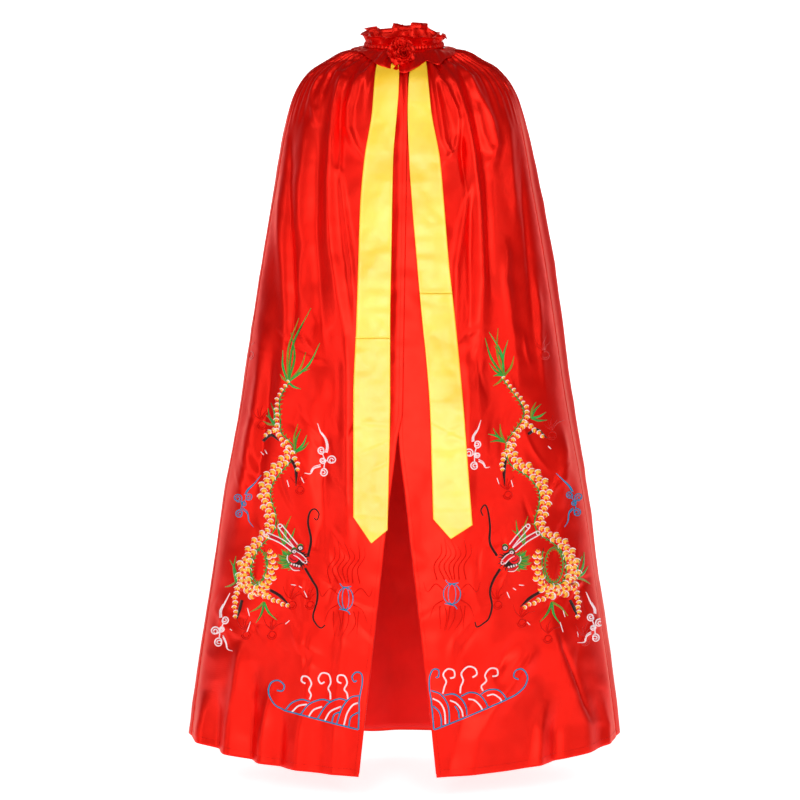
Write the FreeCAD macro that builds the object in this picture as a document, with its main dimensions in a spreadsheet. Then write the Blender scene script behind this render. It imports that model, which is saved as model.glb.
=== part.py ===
import FreeCAD, Part
import math
import os
import Sketcher

# Embroidered satin stage cloak with a gathered drawstring neck.
# Millimetres, +Z up, the opening faces -Y and the wearer's left side is +X.
# Origin: centre of the neck opening.  The neck ring leans 15 degrees forward.

os.makedirs("parts", exist_ok=True)
doc = FreeCAD.newDocument("opera_cloak")
V = FreeCAD.Vector

# ---------------------------------------------------------------- sizes
sheet = doc.addObject("Spreadsheet::Sheet", "sizes")
row = [0]


def put(alias, value):
    row[0] += 1
    cell = "A%d" % row[0]
    sheet.set(cell, str(value))
    sheet.setAlias(cell, alias)


# neck: ring of the drawstring channel
for alias, value in (
    ("neck_tilt", 15.0),
    ("neck_bore_radius", 64.0),
    ("casing_outer_radius", 76.0),
    ("casing_half_height", 6.0),
    ("channel_inner_radius", 66.6),
    ("channel_outer_radius", 73.4),
    ("channel_half_height", 3.4),
    ("casing_sweep", 344.0),
    ("cord_ring_radius", 70.0),
    ("cord_radius", 2.0),
    ("knot_half_width", 7.0),
    ("knot_waist", 4.0),
    ("knot_radius", 5.8),
    ("knot_shoulder", 4.4),
    ("knot_hole", 2.7),
    ("knot_ring_radius", 69.8),
    # standing ruffle above the channel
    ("ruffle_base_radius", 69.0),
    ("ruffle_mid_radius", 77.0),
    ("ruffle_top_radius", 86.0),
    ("ruffle_base_height", 6.5),
    ("ruffle_mid_height", 20.0),
    ("ruffle_top_height", 37.0),
    ("ruffle_cloth", 3.0),
    # falling frill below the channel
    ("frill_hole_radius", 77.0),
    ("frill_edge_radius", 112.0),
    ("frill_edge_shift", 16.0),
    # rosette
    ("rosette_tilt", 20.0),
    ("rosette_centre_side", 5.0),
    ("rosette_centre_front", 116.0),
    ("rosette_centre_drop", 34.0),
    ("core_radius", 8.0),
    ("core_height", 20.0),
    ("stem_radius", 5.0),
    ("stem_length", 13.0),
    ("inner_petal_hole", 8.4),
    ("inner_petal_radius", 19.0),
    ("inner_petal_height", 15.0),
    ("outer_petal_hole", 19.4),
    ("outer_petal_radius", 31.0),
    ("outer_petal_height", 10.0),
    # cloth layers, as offsets from the outer face of the satin
    ("satin_thickness", 1.2),
    ("lining_gap", 1.0),
    ("lining_thickness", 1.0),
    ("ribbon_lift", 4.0),
    ("ribbon_thickness", 1.2),
    ("frill_lift", 1.5),
    ("frill_thickness", 2.0),
    # trims
    ("panel_hole_radius", 72.0),
    ("hem_arc_radius", 2022.0),
    ("hem_lowest", 1360.0),
    ("seam_plane", 45.0),
    ("seam_gap", 0.4),
    ("lining_hem_short", 6.0),
    # fold line of each front flap, seen from the front
    ("fold_top_side", 34.0),
    ("fold_top_front", 134.0),
    ("fold_top_drop", 45.0),
    ("fold_bottom_side", 330.0),
    ("fold_bottom_front", 176.0),
    ("fold_bottom_drop", 1330.0),
    ("fold_gap", 12.0),
    ("flap_top_drop", 178.0),
    ("yoke_low_drop", 168.0),
    # front opening, seen from the front
    ("slit_half", 2.0),
    ("opening_start_drop", 746.0),
    ("opening_start_side", 12.0),
    ("opening_end_drop", 1420.0),
    ("opening_end_right", 90.0),
    ("opening_end_left", 66.0),
    ("crease_gap", 1.0),
):
    put(alias, value)

# cross-sections of the cloak: height, half width, half depth, shift in depth, tilt
SECTIONS = (
    (-7.5, 77, 75, 0, 15),
    (-12, 116, 90, 0, 13),
    (-31, 153, 106, 2, 10),
    (-48, 180, 120, 2, 8),
    (-77, 204, 136, 0, 5),
    (-106, 218, 145, 0, 3),
    (-164, 234, 154, 0, 1),
    (-279, 254, 166, 0, 0),
    (-394, 274, 177, 0, 0),
    (-509, 292, 187, 0, 0),
    (-682, 317, 203, 0, 0),
    (-855, 348, 222, 0, 0),
    (-1028, 373, 240, 0, 0),
    (-1200, 399, 254, 0, 0),
    (-1400, 424, 272, 0, 0),
)
for i, s in enumerate(SECTIONS):
    n = "section_" + "abcdefghijklmnopq"[i]
    for key, value in zip(("height", "halfwidth", "halfdepth", "shift", "tilt"), s):
        put(n + "_" + key, value)

# outlines of the two neck ribbons as cut, seen from the front: side, height
RIGHT_UPPER = (
    (-52, -75), (-59, -145), (-74, -240), (-81, -324), (-84, -435), (-87, -545), (-89, -577.5),
    (-26, -577.5), (-25, -545), (-24, -435), (-22, -324), (-22, -240), (-13, -145), (-9, -75),
)
RIGHT_TAIL = (
    (-89, -578.5), (-93, -682), (-93, -895), (-60, -943), (-31, -918), (-29, -864), (-26, -682), (-26, -578.5),
)
LEFT_UPPER = (
    (13, -75), (6, -145), (9, -240), (15, -324), (24, -435), (29, -494.5),
    (90, -494.5), (83, -435), (73, -324), (66, -240), (50, -145), (41, -75),
)
LEFT_TAIL = (
    (29, -495.5), (31, -517), (42, -627), (47, -709), (52, -898), (82, -935), (122, -909),
    (109, -709), (102, -627), (92, -517), (90, -495.5),
)
for tag, pts in (("rightupper", RIGHT_UPPER), ("righttail", RIGHT_TAIL), ("leftupper", LEFT_UPPER), ("lefttail", LEFT_TAIL)):
    for i, (px, pz) in enumerate(pts):
        put("%s_%s_side" % (tag, "abcdefghijklmnop"[i]), px)
        put("%s_%s_height" % (tag, "abcdefghijklmnop"[i]), pz)
doc.recompute()


def val(alias):
    return float(sheet.get(alias))


def bind(obj, **kw):
    for prop, expr in kw.items():
        obj.setExpression(prop.replace("__", "."), expr)


def neck_frame(obj, base=V(0, 0, 0), extra=0.0):
    r = FreeCAD.Rotation(V(1, 0, 0), val("neck_tilt"))
    obj.Placement = FreeCAD.Placement(r.multVec(base), r.multiply(FreeCAD.Rotation(V(0, 0, 1), extra)))


# ---------------------------------------------------------------- helpers
def prism(name, pts, y0=-900.0, depth=1800.0):
    """A closed outline seen from the front, extruded in depth. Each point is a pair of expressions."""
    sk = doc.addObject("Sketcher::SketchObject", name + "_outline")
    sk.Placement = FreeCAD.Placement(V(0, y0, 0), FreeCAD.Rotation(V(1, 0, 0), 90))
    values = []
    for ex, ez in pts:
        # a numeric start value for each corner; the sheet then drives it
        values.append((evaluate(ex), evaluate(ez)))
    n = len(pts)
    for i in range(n):
        a, b = values[i], values[(i + 1) % n]
        sk.addGeometry(Part.LineSegment(V(a[0], a[1], 0), V(b[0], b[1], 0)), False)
    for i in range(n):
        sk.addConstraint(Sketcher.Constraint("Coincident", i, 2, (i + 1) % n, 1))
    for i in range(n):
        cx = sk.addConstraint(Sketcher.Constraint("DistanceX", -1, 1, i, 1, values[i][0]))
        cz = sk.addConstraint(Sketcher.Constraint("DistanceY", -1, 1, i, 1, values[i][1]))
        sk.setExpression("Constraints[%d]" % cx, pts[i][0])
        sk.setExpression("Constraints[%d]" % cz, pts[i][1])
    ex = doc.addObject("Part::Extrusion", name)
    ex.Base = sk
    ex.DirMode = "Custom"
    ex.Dir = V(0, 1, 0)
    ex.LengthFwd = depth
    ex.Solid = True
    return ex


def evaluate(expr):
    names = {}
    text = expr.replace("sizes.", "")
    token = ""
    out = []
    for ch in text + " ":
        if ch.isalpha() or ch == "_" or (token and ch.isdigit()):
            token += ch
            continue
        if token:
            out.append(repr(val(token)))
            token = ""
        out.append(ch)
    return arithmetic("".join(out))


def arithmetic(text):
    """Plain + - * / and brackets, read left to right with the usual order."""
    pos = [0]
    text = text.replace(" ", "")

    def number():
        start = pos[0]
        if text[pos[0]] in "+-":
            sign = -1.0 if text[pos[0]] == "-" else 1.0
            pos[0] += 1
            return sign * number()
        if text[pos[0]] == "(":
            pos[0] += 1
            v = total()
            pos[0] += 1
            return v
        while pos[0] < len(text) and (text[pos[0]].isdigit() or text[pos[0]] == "."):
            pos[0] += 1
        return float(text[start:pos[0]])

    def product():
        v = number()
        while pos[0] < len(text) and text[pos[0]] in "*/":
            op = text[pos[0]]
            pos[0] += 1
            w = number()
            v = v * w if op == "*" else v / w
        return v

    def total():
        v = product()
        while pos[0] < len(text) and text[pos[0]] in "+-":
            op = text[pos[0]]
            pos[0] += 1
            w = product()
            v = v + w if op == "+" else v - w
        return v

    return total()


def cut(name, base, tool):
    o = doc.addObject("Part::Cut", name)
    o.Base, o.Tool = base, tool
    return o


def common(name, a, b):
    o = doc.addObject("Part::Common", name)
    o.Base, o.Tool = a, b
    return o


def envelope(name, offset):
    """The solid inside the cloak's cross-sections, grown by an offset expression."""
    rings = []
    for i, s in enumerate(SECTIONS):
        key = "sizes.section_" + "abcdefghijklmnopq"[i]
        e = doc.addObject("Part::Ellipse", "%s_ring%02d" % (name, i))
        bind(e, MajorRadius="%s_halfwidth + %s" % (key, offset), MinorRadius="%s_halfdepth + %s" % (key, offset))
        e.Placement = FreeCAD.Placement(V(0, s[3], s[0]), FreeCAD.Rotation(V(1, 0, 0), s[4]))
        bind(e, Placement__Base__z="%s_height + %s" % (key, offset), Placement__Base__y="%s_shift" % key)
        rings.append(e)
    body = doc.addObject("Part::Loft", name)
    body.Sections = rings
    body.Solid = True
    body.Ruled = True
    return body


def layer(name, outer, inner):
    o, i = envelope(name + "_outside", outer), envelope(name + "_inside", inner)
    return cut(name, o, i)


# ---------------------------------------------------------------- cutting tools
hole = doc.addObject("Part::Cylinder", "panel_hole")
bind(hole, Radius="sizes.panel_hole_radius", Height="200")
neck_frame(hole, V(0, 0, -60))

hem = doc.addObject("Part::Cylinder", "hem_arc")
bind(hem, Radius="sizes.hem_arc_radius", Height="1800")
hem.Placement = FreeCAD.Placement(V(0, 900, val("hem_arc_radius") - val("hem_lowest")), FreeCAD.Rotation(V(1, 0, 0), 90))
bind(hem, Placement__Base__z="sizes.hem_arc_radius - sizes.hem_lowest")

hem_short = doc.addObject("Part::Cylinder", "lining_hem_arc")
bind(hem_short, Radius="sizes.hem_arc_radius - sizes.lining_hem_short", Height="1800")
hem_short.Placement = hem.Placement
bind(hem_short, Placement__Base__z="sizes.hem_arc_radius - sizes.hem_lowest")

back_block = doc.addObject("Part::Box", "back_block")
bind(back_block, Length="1400", Width="700", Height="1700")
back_block.Placement.Base = V(-700, -45, -1600)
bind(back_block, Placement__Base__y="-sizes.seam_plane")

front_block = doc.addObject("Part::Box", "front_block")
bind(front_block, Length="1400", Width="700", Height="1700")
front_block.Placement.Base = V(-700, -745.4, -1600)
bind(front_block, Placement__Base__y="-sizes.seam_plane - sizes.seam_gap - 700")

opening = prism("front_opening", (
    ("-sizes.slit_half", "60"), ("sizes.slit_half", "60"),
    ("sizes.slit_half - sizes.opening_start_side", "-sizes.opening_start_drop"),
    ("sizes.opening_end_left", "-sizes.opening_end_drop"),
    ("-sizes.opening_end_right", "-sizes.opening_end_drop"),
    ("-sizes.slit_half - sizes.opening_start_side", "-sizes.opening_start_drop"),
), y0=-900.0, depth=855.0)


def fold_side(drop, gap):
    """Side distance of the fold line at a given drop, moved by a gap."""
    return ("sizes.fold_top_side + (sizes.fold_bottom_side - sizes.fold_top_side) * (%s - sizes.fold_top_drop)"
            " / (sizes.fold_bottom_drop - sizes.fold_top_drop) + (%s)" % (drop, gap))


def mirror(pts, sign):
    return [("(%s) * (%d)" % (a, sign), b) for a, b in pts]


FLAP = (
    ("-60", "-sizes.flap_top_drop"),
    (fold_side("sizes.flap_top_drop", "-sizes.fold_gap"), "-sizes.flap_top_drop"),
    (fold_side("1420", "-sizes.fold_gap"), "-1420"),
    ("-160", "-1420"),
)
YOKE_CUT = (
    ("-60", "-sizes.yoke_low_drop"),
    (fold_side("sizes.yoke_low_drop", "sizes.fold_gap"), "-sizes.yoke_low_drop"),
    (fold_side("1420", "sizes.fold_gap"), "-1420"),
    ("-160", "-1420"),
)

satin = layer("satin_layer", "0", "-sizes.satin_thickness")
lining = layer("lining_layer", "-sizes.satin_thickness - sizes.lining_gap",
               "-sizes.satin_thickness - sizes.lining_gap - sizes.lining_thickness")

finished = []


def finish(obj, label):
    obj.Label = label
    finished.append((label, obj))
    return obj


for kind, shell, arc in (("panel", satin, hem), ("lining", lining, hem_short)):
    open_neck = cut(kind + "_open_neck", shell, hole)
    hemmed = common(kind + "_hemmed", open_neck, arc)
    finish(common("back_%s_solid" % kind, hemmed, back_block), "back_" + kind)
    front = common(kind + "_front", hemmed, front_block)
    front_open = cut(kind + "_front_open", front, opening)
    for side, sign in (("left", 1), ("right", -1)):
        half = doc.addObject("Part::Box", "%s_%s_half" % (side, kind))
        # the two halves of the front part along the leaning slit
        flap_cut = prism("%s_%s_flap_outline" % (side, kind), mirror(FLAP, sign))
        yoke_cut = prism("%s_%s_yoke_outline" % (side, kind), mirror(YOKE_CUT, sign))
        divide = prism("%s_%s_side" % (side, kind), (
            ("0", "80"), ("700 * (%d)" % sign, "80"), ("700 * (%d)" % sign, "-1500"),
            ("-12 + (12)", "-1500"), ("-sizes.opening_start_side", "-sizes.opening_start_drop"),
        ))
        doc.removeObject(half.Name)
        one = common("%s_%s_half" % (side, kind), front_open, divide)
        finish(common("%s_front_%s_solid" % (side, kind), one, flap_cut), "%s_front_%s" % (side, kind))
        finish(cut("%s_shoulder_%s_solid" % (side, kind), one, yoke_cut), "%s_shoulder_%s" % (side, kind))

# ---------------------------------------------------------------- ribbons
ribbon = layer("ribbon_layer", "sizes.ribbon_lift + sizes.ribbon_thickness", "sizes.ribbon_lift")
ribbon_front = common("ribbon_front", ribbon, front_block)
for label, tag, pts in (
    ("right_tie_ribbon", "rightupper", RIGHT_UPPER),
    ("right_tie_ribbon_tail", "righttail", RIGHT_TAIL),
    ("left_tie_ribbon", "leftupper", LEFT_UPPER),
    ("left_tie_ribbon_tail", "lefttail", LEFT_TAIL),
):
    outline = prism(label + "_cutline", [
        ("sizes.%s_%s_side" % (tag, "abcdefghijklmnop"[i]), "sizes.%s_%s_height" % (tag, "abcdefghijklmnop"[i]))
        for i in range(len(pts))
    ])
    finish(common(label + "_solid", ribbon_front, outline), label)

# ---------------------------------------------------------------- falling frill
frill = layer("frill_layer", "sizes.frill_lift + sizes.frill_thickness", "sizes.frill_lift")
frill_hole = doc.addObject("Part::Cylinder", "frill_hole")
bind(frill_hole, Radius="sizes.frill_hole_radius", Height="200")
neck_frame(frill_hole, V(0, 0, -60))
frill_edge = doc.addObject("Part::Cylinder", "frill_edge")
bind(frill_edge, Radius="sizes.frill_edge_radius", Height="200")
neck_frame(frill_edge, V(0, -val("frill_edge_shift"), -100))
frill_ring = cut("frill_ring", frill, frill_hole)
frill_trim = common("frill_trimmed", frill_ring, frill_edge)
finish(cut("collar_frill_solid", frill_trim, opening), "collar_frill")

# ---------------------------------------------------------------- neck hardware


def turned(label, outlines, angle=360.0, axis="V_Axis"):
    """A PartDesign body turned about its own Z axis from closed outlines of (radius, height) expressions."""
    body = doc.addObject("PartDesign::Body", label + "_body")
    plane = [f for f in body.Origin.OriginFeatures if f.Role == "XZ_Plane"][0]
    sk = body.newObject("Sketcher::SketchObject", label + "_section")
    sk.AttachmentSupport = [(plane, "")]
    sk.MapMode = "FlatFace"
    doc.recompute()
    start = 0
    for pts in outlines:
        vals = [(evaluate(a), evaluate(b)) for a, b in pts]
        n = len(pts)
        for i in range(n):
            a, b = vals[i], vals[(i + 1) % n]
            sk.addGeometry(Part.LineSegment(V(a[0], a[1], 0), V(b[0], b[1], 0)), False)
        for i in range(n):
            sk.addConstraint(Sketcher.Constraint("Coincident", start + i, 2, start + (i + 1) % n, 1))
        for i in range(n):
            for kind, k in (("DistanceX", 0), ("DistanceY", 1)):
                if abs(vals[i][k]) < 1e-9:
                    target = -2 if k == 0 else -1
                    sk.addConstraint(Sketcher.Constraint("PointOnObject", start + i, 1, target))
                    continue
                c = sk.addConstraint(Sketcher.Constraint(kind, -1, 1, start + i, 1, vals[i][k]))
                sk.setExpression("Constraints[%d]" % c, pts[i][k])
        start += n
    doc.recompute()
    rev = body.newObject("PartDesign::Revolution", label + "_turned")
    rev.Profile = sk
    rev.ReferenceAxis = (sk, [axis])
    rev.Angle = angle
    rev.Reversed = False
    sk.Visibility = False
    doc.recompute()
    return body


ri, ro, hh = "sizes.neck_bore_radius", "sizes.casing_outer_radius", "sizes.casing_half_height"
ci, co, ch = "sizes.channel_inner_radius", "sizes.channel_outer_radius", "sizes.channel_half_height"
casing = turned("neck_casing", (
    ((ri, "-" + hh), (ro, "-" + hh), (ro, hh), (ri, hh)),
    ((ci, "-" + ch), (co, "-" + ch), (co, ch), (ci, ch)),
), angle=val("casing_sweep"))
# the open ends of the channel sit each side of the front centre
casing_turn = -90.0 + (360.0 - val("casing_sweep")) / 2.0
neck_frame(casing, extra=casing_turn)
finish(casing, "neck_casing")

cord = doc.addObject("Part::Torus", "neck_drawcord_ring")
bind(cord, Radius1="sizes.cord_ring_radius", Radius2="sizes.cord_radius")
neck_frame(cord)
finish(cord, "neck_drawcord")

# the knot is a bead round the cord, lying across the front gap of the channel
knot_rows = (("knot_hole", "knot_half_width", -1), ("knot_shoulder", "knot_half_width", -1), ("knot_radius", "knot_waist", -1),
             ("knot_radius", "knot_waist", 1), ("knot_shoulder", "knot_half_width", 1), ("knot_hole", "knot_half_width", 1))
knot = turned("drawcord_knot", (tuple(
    ("sizes." + radius, ("-" if sign < 0 else "") + "sizes." + half) for radius, half, sign in knot_rows),))
tilt = FreeCAD.Rotation(V(1, 0, 0), val("neck_tilt"))
knot.Placement = FreeCAD.Placement(tilt.multVec(V(0, -val("knot_ring_radius"), 0)),
                                   tilt.multiply(FreeCAD.Rotation(V(0, 1, 0), 90)))
finish(knot, "drawcord_knot")

r0, r1, r2 = "sizes.ruffle_base_radius", "sizes.ruffle_mid_radius", "sizes.ruffle_top_radius"
h0, h1, h2 = "sizes.ruffle_base_height", "sizes.ruffle_mid_height", "sizes.ruffle_top_height"
rt = " + sizes.ruffle_cloth"
ruffle = turned("collar_ruffle", ((
    (r0, h0), (r0 + rt, h0), (r1 + rt, h1), (r2 + rt, h2), (r2, h2), (r1, h1),
),))
neck_frame(ruffle)
finish(ruffle, "collar_ruffle")

# ---------------------------------------------------------------- rosette
rosette_turn = FreeCAD.Rotation(V(1, 0, 0), 90 - val("rosette_tilt"))
rosette_place = FreeCAD.Placement(
    V(-val("rosette_centre_side"), -val("rosette_centre_front"), -val("rosette_centre_drop")), rosette_turn)
core = turned("rosette_core", ((
    ("0", "-sizes.stem_length"), ("sizes.stem_radius", "-sizes.stem_length"), ("sizes.stem_radius", "-1"),
    ("sizes.core_radius", "1"), ("sizes.core_radius", "sizes.core_height * 0.7"),
    ("sizes.core_radius * 0.55", "sizes.core_height"), ("0", "sizes.core_height"),
),))
core.Placement = rosette_place
finish(core, "rosette_core")
inner = turned("rosette_inner_petals", ((
    ("sizes.inner_petal_hole", "1"), ("sizes.inner_petal_radius * 0.8", "1"),
    ("sizes.inner_petal_radius", "5"), ("sizes.inner_petal_radius * 0.92", "sizes.inner_petal_height"),
    ("sizes.inner_petal_hole", "sizes.inner_petal_height * 0.9"),
),))
inner.Placement = rosette_place
finish(inner, "rosette_inner_petals")
outer = turned("rosette_outer_petals", ((
    ("sizes.outer_petal_hole", "0"), ("sizes.outer_petal_radius * 0.8", "0"),
    ("sizes.outer_petal_radius", "4"), ("sizes.outer_petal_radius * 0.94", "sizes.outer_petal_height"),
    ("sizes.outer_petal_hole", "sizes.outer_petal_height * 0.85"),
),))
outer.Placement = rosette_place
finish(outer, "rosette_outer_petals")

# ---------------------------------------------------------------- check and write
doc.recompute()
bad = [o.Name for o in doc.Objects if "Invalid" in o.State or "Error" in o.State]
if bad:
    raise RuntimeError("objects left in error: %s" % bad)
for label, obj in finished:
    shape = obj.Shape
    if shape.isNull() or not shape.isValid() or not shape.Solids:
        raise RuntimeError("bad shape: %s" % label)
for label, obj in finished:
    shape = obj.Shape
    shape.exportStep("parts/%s.step" % label)
    bb = shape.BoundBox
    print("%-24s solids %d volume %.0f  x %.0f..%.0f y %.0f..%.0f z %.0f..%.0f" % (
        label, len(shape.Solids), shape.Volume, bb.XMin, bb.XMax, bb.YMin, bb.YMax, bb.ZMin, bb.ZMax))
print("cord length in its channel: %.0f" % (2 * math.pi * val("cord_ring_radius")))
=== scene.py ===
import math
import bpy
import numpy as np
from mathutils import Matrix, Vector
from mathutils.bvhtree import BVHTree


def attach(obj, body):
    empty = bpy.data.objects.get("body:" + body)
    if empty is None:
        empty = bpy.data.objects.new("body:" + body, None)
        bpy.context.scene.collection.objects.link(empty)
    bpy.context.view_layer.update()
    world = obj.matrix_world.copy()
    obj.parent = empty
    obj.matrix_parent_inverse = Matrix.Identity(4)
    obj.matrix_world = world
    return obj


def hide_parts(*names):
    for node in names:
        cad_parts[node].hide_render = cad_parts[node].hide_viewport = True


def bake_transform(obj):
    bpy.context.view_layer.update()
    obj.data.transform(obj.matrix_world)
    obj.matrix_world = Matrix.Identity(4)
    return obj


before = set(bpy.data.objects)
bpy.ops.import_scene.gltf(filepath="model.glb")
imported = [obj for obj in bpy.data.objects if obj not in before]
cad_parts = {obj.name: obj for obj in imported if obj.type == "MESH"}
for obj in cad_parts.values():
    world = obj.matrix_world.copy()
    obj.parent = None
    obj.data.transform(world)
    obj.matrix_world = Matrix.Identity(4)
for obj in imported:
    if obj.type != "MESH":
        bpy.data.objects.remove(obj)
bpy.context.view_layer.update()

CLOAK = "cloak"
PX = 1.92e-3          # metres a view pixel spans on the plane y = 0
CAM_D = 4.0           # camera distance in front of that plane
CAM_Z = -0.682
COL0, ROW0 = 404.0, 400.0

# ------------------------------------------------------------------ camera
cam_data = bpy.data.cameras.new("camera")
cam = bpy.data.objects.new("camera", cam_data)
bpy.context.scene.collection.objects.link(cam)
cam.location = (-4 * PX, -CAM_D, CAM_Z)
cam.rotation_euler = (math.radians(90), 0, 0)
cam_data.sensor_width = 36.0
cam_data.lens = 36.0 * (CAM_D / PX) / 800.0
cam_data.clip_end = 60
bpy.context.scene.camera = cam
bpy.context.scene.view_settings.view_transform = "Standard"


def to_view(P):
    """View column and row of points in the row frame."""
    k = PX * (1 + P[..., 1] / CAM_D)
    return COL0 + P[..., 0] / k, ROW0 - (P[..., 2] - CAM_Z) / k


# ------------------------------------------------------------------ small maths
def smooth(x, a, b):
    t = np.clip((np.asarray(x, float) - a) / (b - a), 0, 1)
    return t * t * (3 - 2 * t)


def pchip(xk, yk, x):
    """Monotone cubic through the knots."""
    xk, yk = np.asarray(xk, float), np.asarray(yk, float)
    h = np.diff(xk)
    d = np.diff(yk) / h
    m = np.zeros_like(yk)
    for i in range(1, len(xk) - 1):
        if d[i - 1] * d[i] > 0:
            w1, w2 = 2 * h[i] + h[i - 1], h[i] + 2 * h[i - 1]
            m[i] = (w1 + w2) / (w1 / d[i - 1] + w2 / d[i])
    m[0], m[-1] = d[0], d[-1]
    x = np.clip(x, xk[0], xk[-1])
    i = np.clip(np.searchsorted(xk, x) - 1, 0, len(h) - 1)
    t = (x - xk[i]) / h[i]
    h00, h10 = 2 * t**3 - 3 * t**2 + 1, t**3 - 2 * t**2 + t
    h01, h11 = -2 * t**3 + 3 * t**2, t**3 - t**2
    return h00 * yk[i] + h10 * h[i] * m[i] + h01 * yk[i + 1] + h11 * h[i] * m[i + 1]


def value_noise(x, y, seed, scale):
    """Smooth 2-D noise in -1..1, the same every run."""
    x, y = np.asarray(x, float) / scale, np.asarray(y, float) / scale
    xi, yi = np.floor(x).astype(np.int64), np.floor(y).astype(np.int64)
    fx, fy = x - xi, y - yi
    fx, fy = fx * fx * (3 - 2 * fx), fy * fy * (3 - 2 * fy)

    def h(a, b):
        n = (a * 374761393 + b * 668265263 + seed * 1442695041) & 0xFFFFFFFF
        n = ((n ^ (n >> 13)) * 1274126177) & 0xFFFFFFFF
        return ((n ^ (n >> 16)) & 0xFFFF) / 32767.5 - 1.0
    return ((h(xi, yi) * (1 - fx) + h(xi + 1, yi) * fx) * (1 - fy)
            + (h(xi, yi + 1) * (1 - fx) + h(xi + 1, yi + 1) * fx) * fy)


# ------------------------------------------------------------------ mean surface of the cloak
SEC = np.array([
    (-7.5, 77, 75, 0, 15), (-12, 116, 90, 0, 13), (-31, 153, 106, 2, 10), (-48, 180, 120, 2, 8),
    (-77, 204, 136, 0, 5), (-106, 218, 145, 0, 3), (-164, 234, 154, 0, 1), (-279, 254, 166, 0, 0),
    (-394, 274, 177, 0, 0), (-509, 292, 187, 0, 0), (-682, 317, 203, 0, 0), (-855, 348, 222, 0, 0),
    (-1028, 373, 240, 0, 0), (-1200, 399, 254, 0, 0), (-1400, 424, 272, 0, 0)], float)
SEC[:, :4] /= 1000.0
_run = np.hypot(np.diff(SEC[:, 0]), 0.5 * (np.diff(SEC[:, 1]) + np.diff(SEC[:, 2])))
KNOT = np.concatenate([[0], np.cumsum(_run)])
T_END = KNOT[-1]


def mean_point(phi, t):
    z, a, b, yc = (pchip(KNOT, SEC[:, i], t) for i in range(4))
    tau = np.radians(pchip(KNOT, SEC[:, 4], t))
    c = -b * np.cos(phi)
    return np.stack([a * np.sin(phi), yc + c * np.cos(tau), z + c * np.sin(tau)], -1)


def mean_normal(phi, t):
    e = 1e-4
    du = mean_point(phi + e, t) - mean_point(phi - e, t)
    dv = mean_point(phi, np.minimum(t + e, T_END)) - mean_point(phi, np.maximum(t - e, 0))
    n = np.cross(dv, du)
    n /= np.linalg.norm(n, axis=-1, keepdims=True) + 1e-12
    out = mean_point(phi, t) * np.array([1, 1, 0])
    flip = np.sign((n * out).sum(-1, keepdims=True))
    return n * np.where(flip == 0, 1, flip)


HEM_R, HEM_LOW = 2.022, 1.360


def hem_z(x):
    return HEM_R - HEM_LOW - np.sqrt(HEM_R**2 - x**2)


def slit_x(z, side):
    """Front edge of a front panel: side +1 is the wearer's left."""
    top = 0.0008 * side + (-0.012) * np.clip((-z) / 0.746, 0, 1)
    low = (0.066 + 0.010) / (1.420 - 0.746) if side > 0 else (0.090 - 0.014) / (1.420 - 0.746)
    open_ = np.clip(-z - 0.746, 0, None) * low * side
    # the edge leaves the slit in a soft curve
    ease = smooth(-z, 0.70, 0.86)
    lap = 0.010 * (1 - smooth(-z, 0.700, 0.765)) if side < 0 else 0.0
    return top + lap + open_ * (0.35 + 0.65 * ease)


SEAM_Y = -0.045

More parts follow.
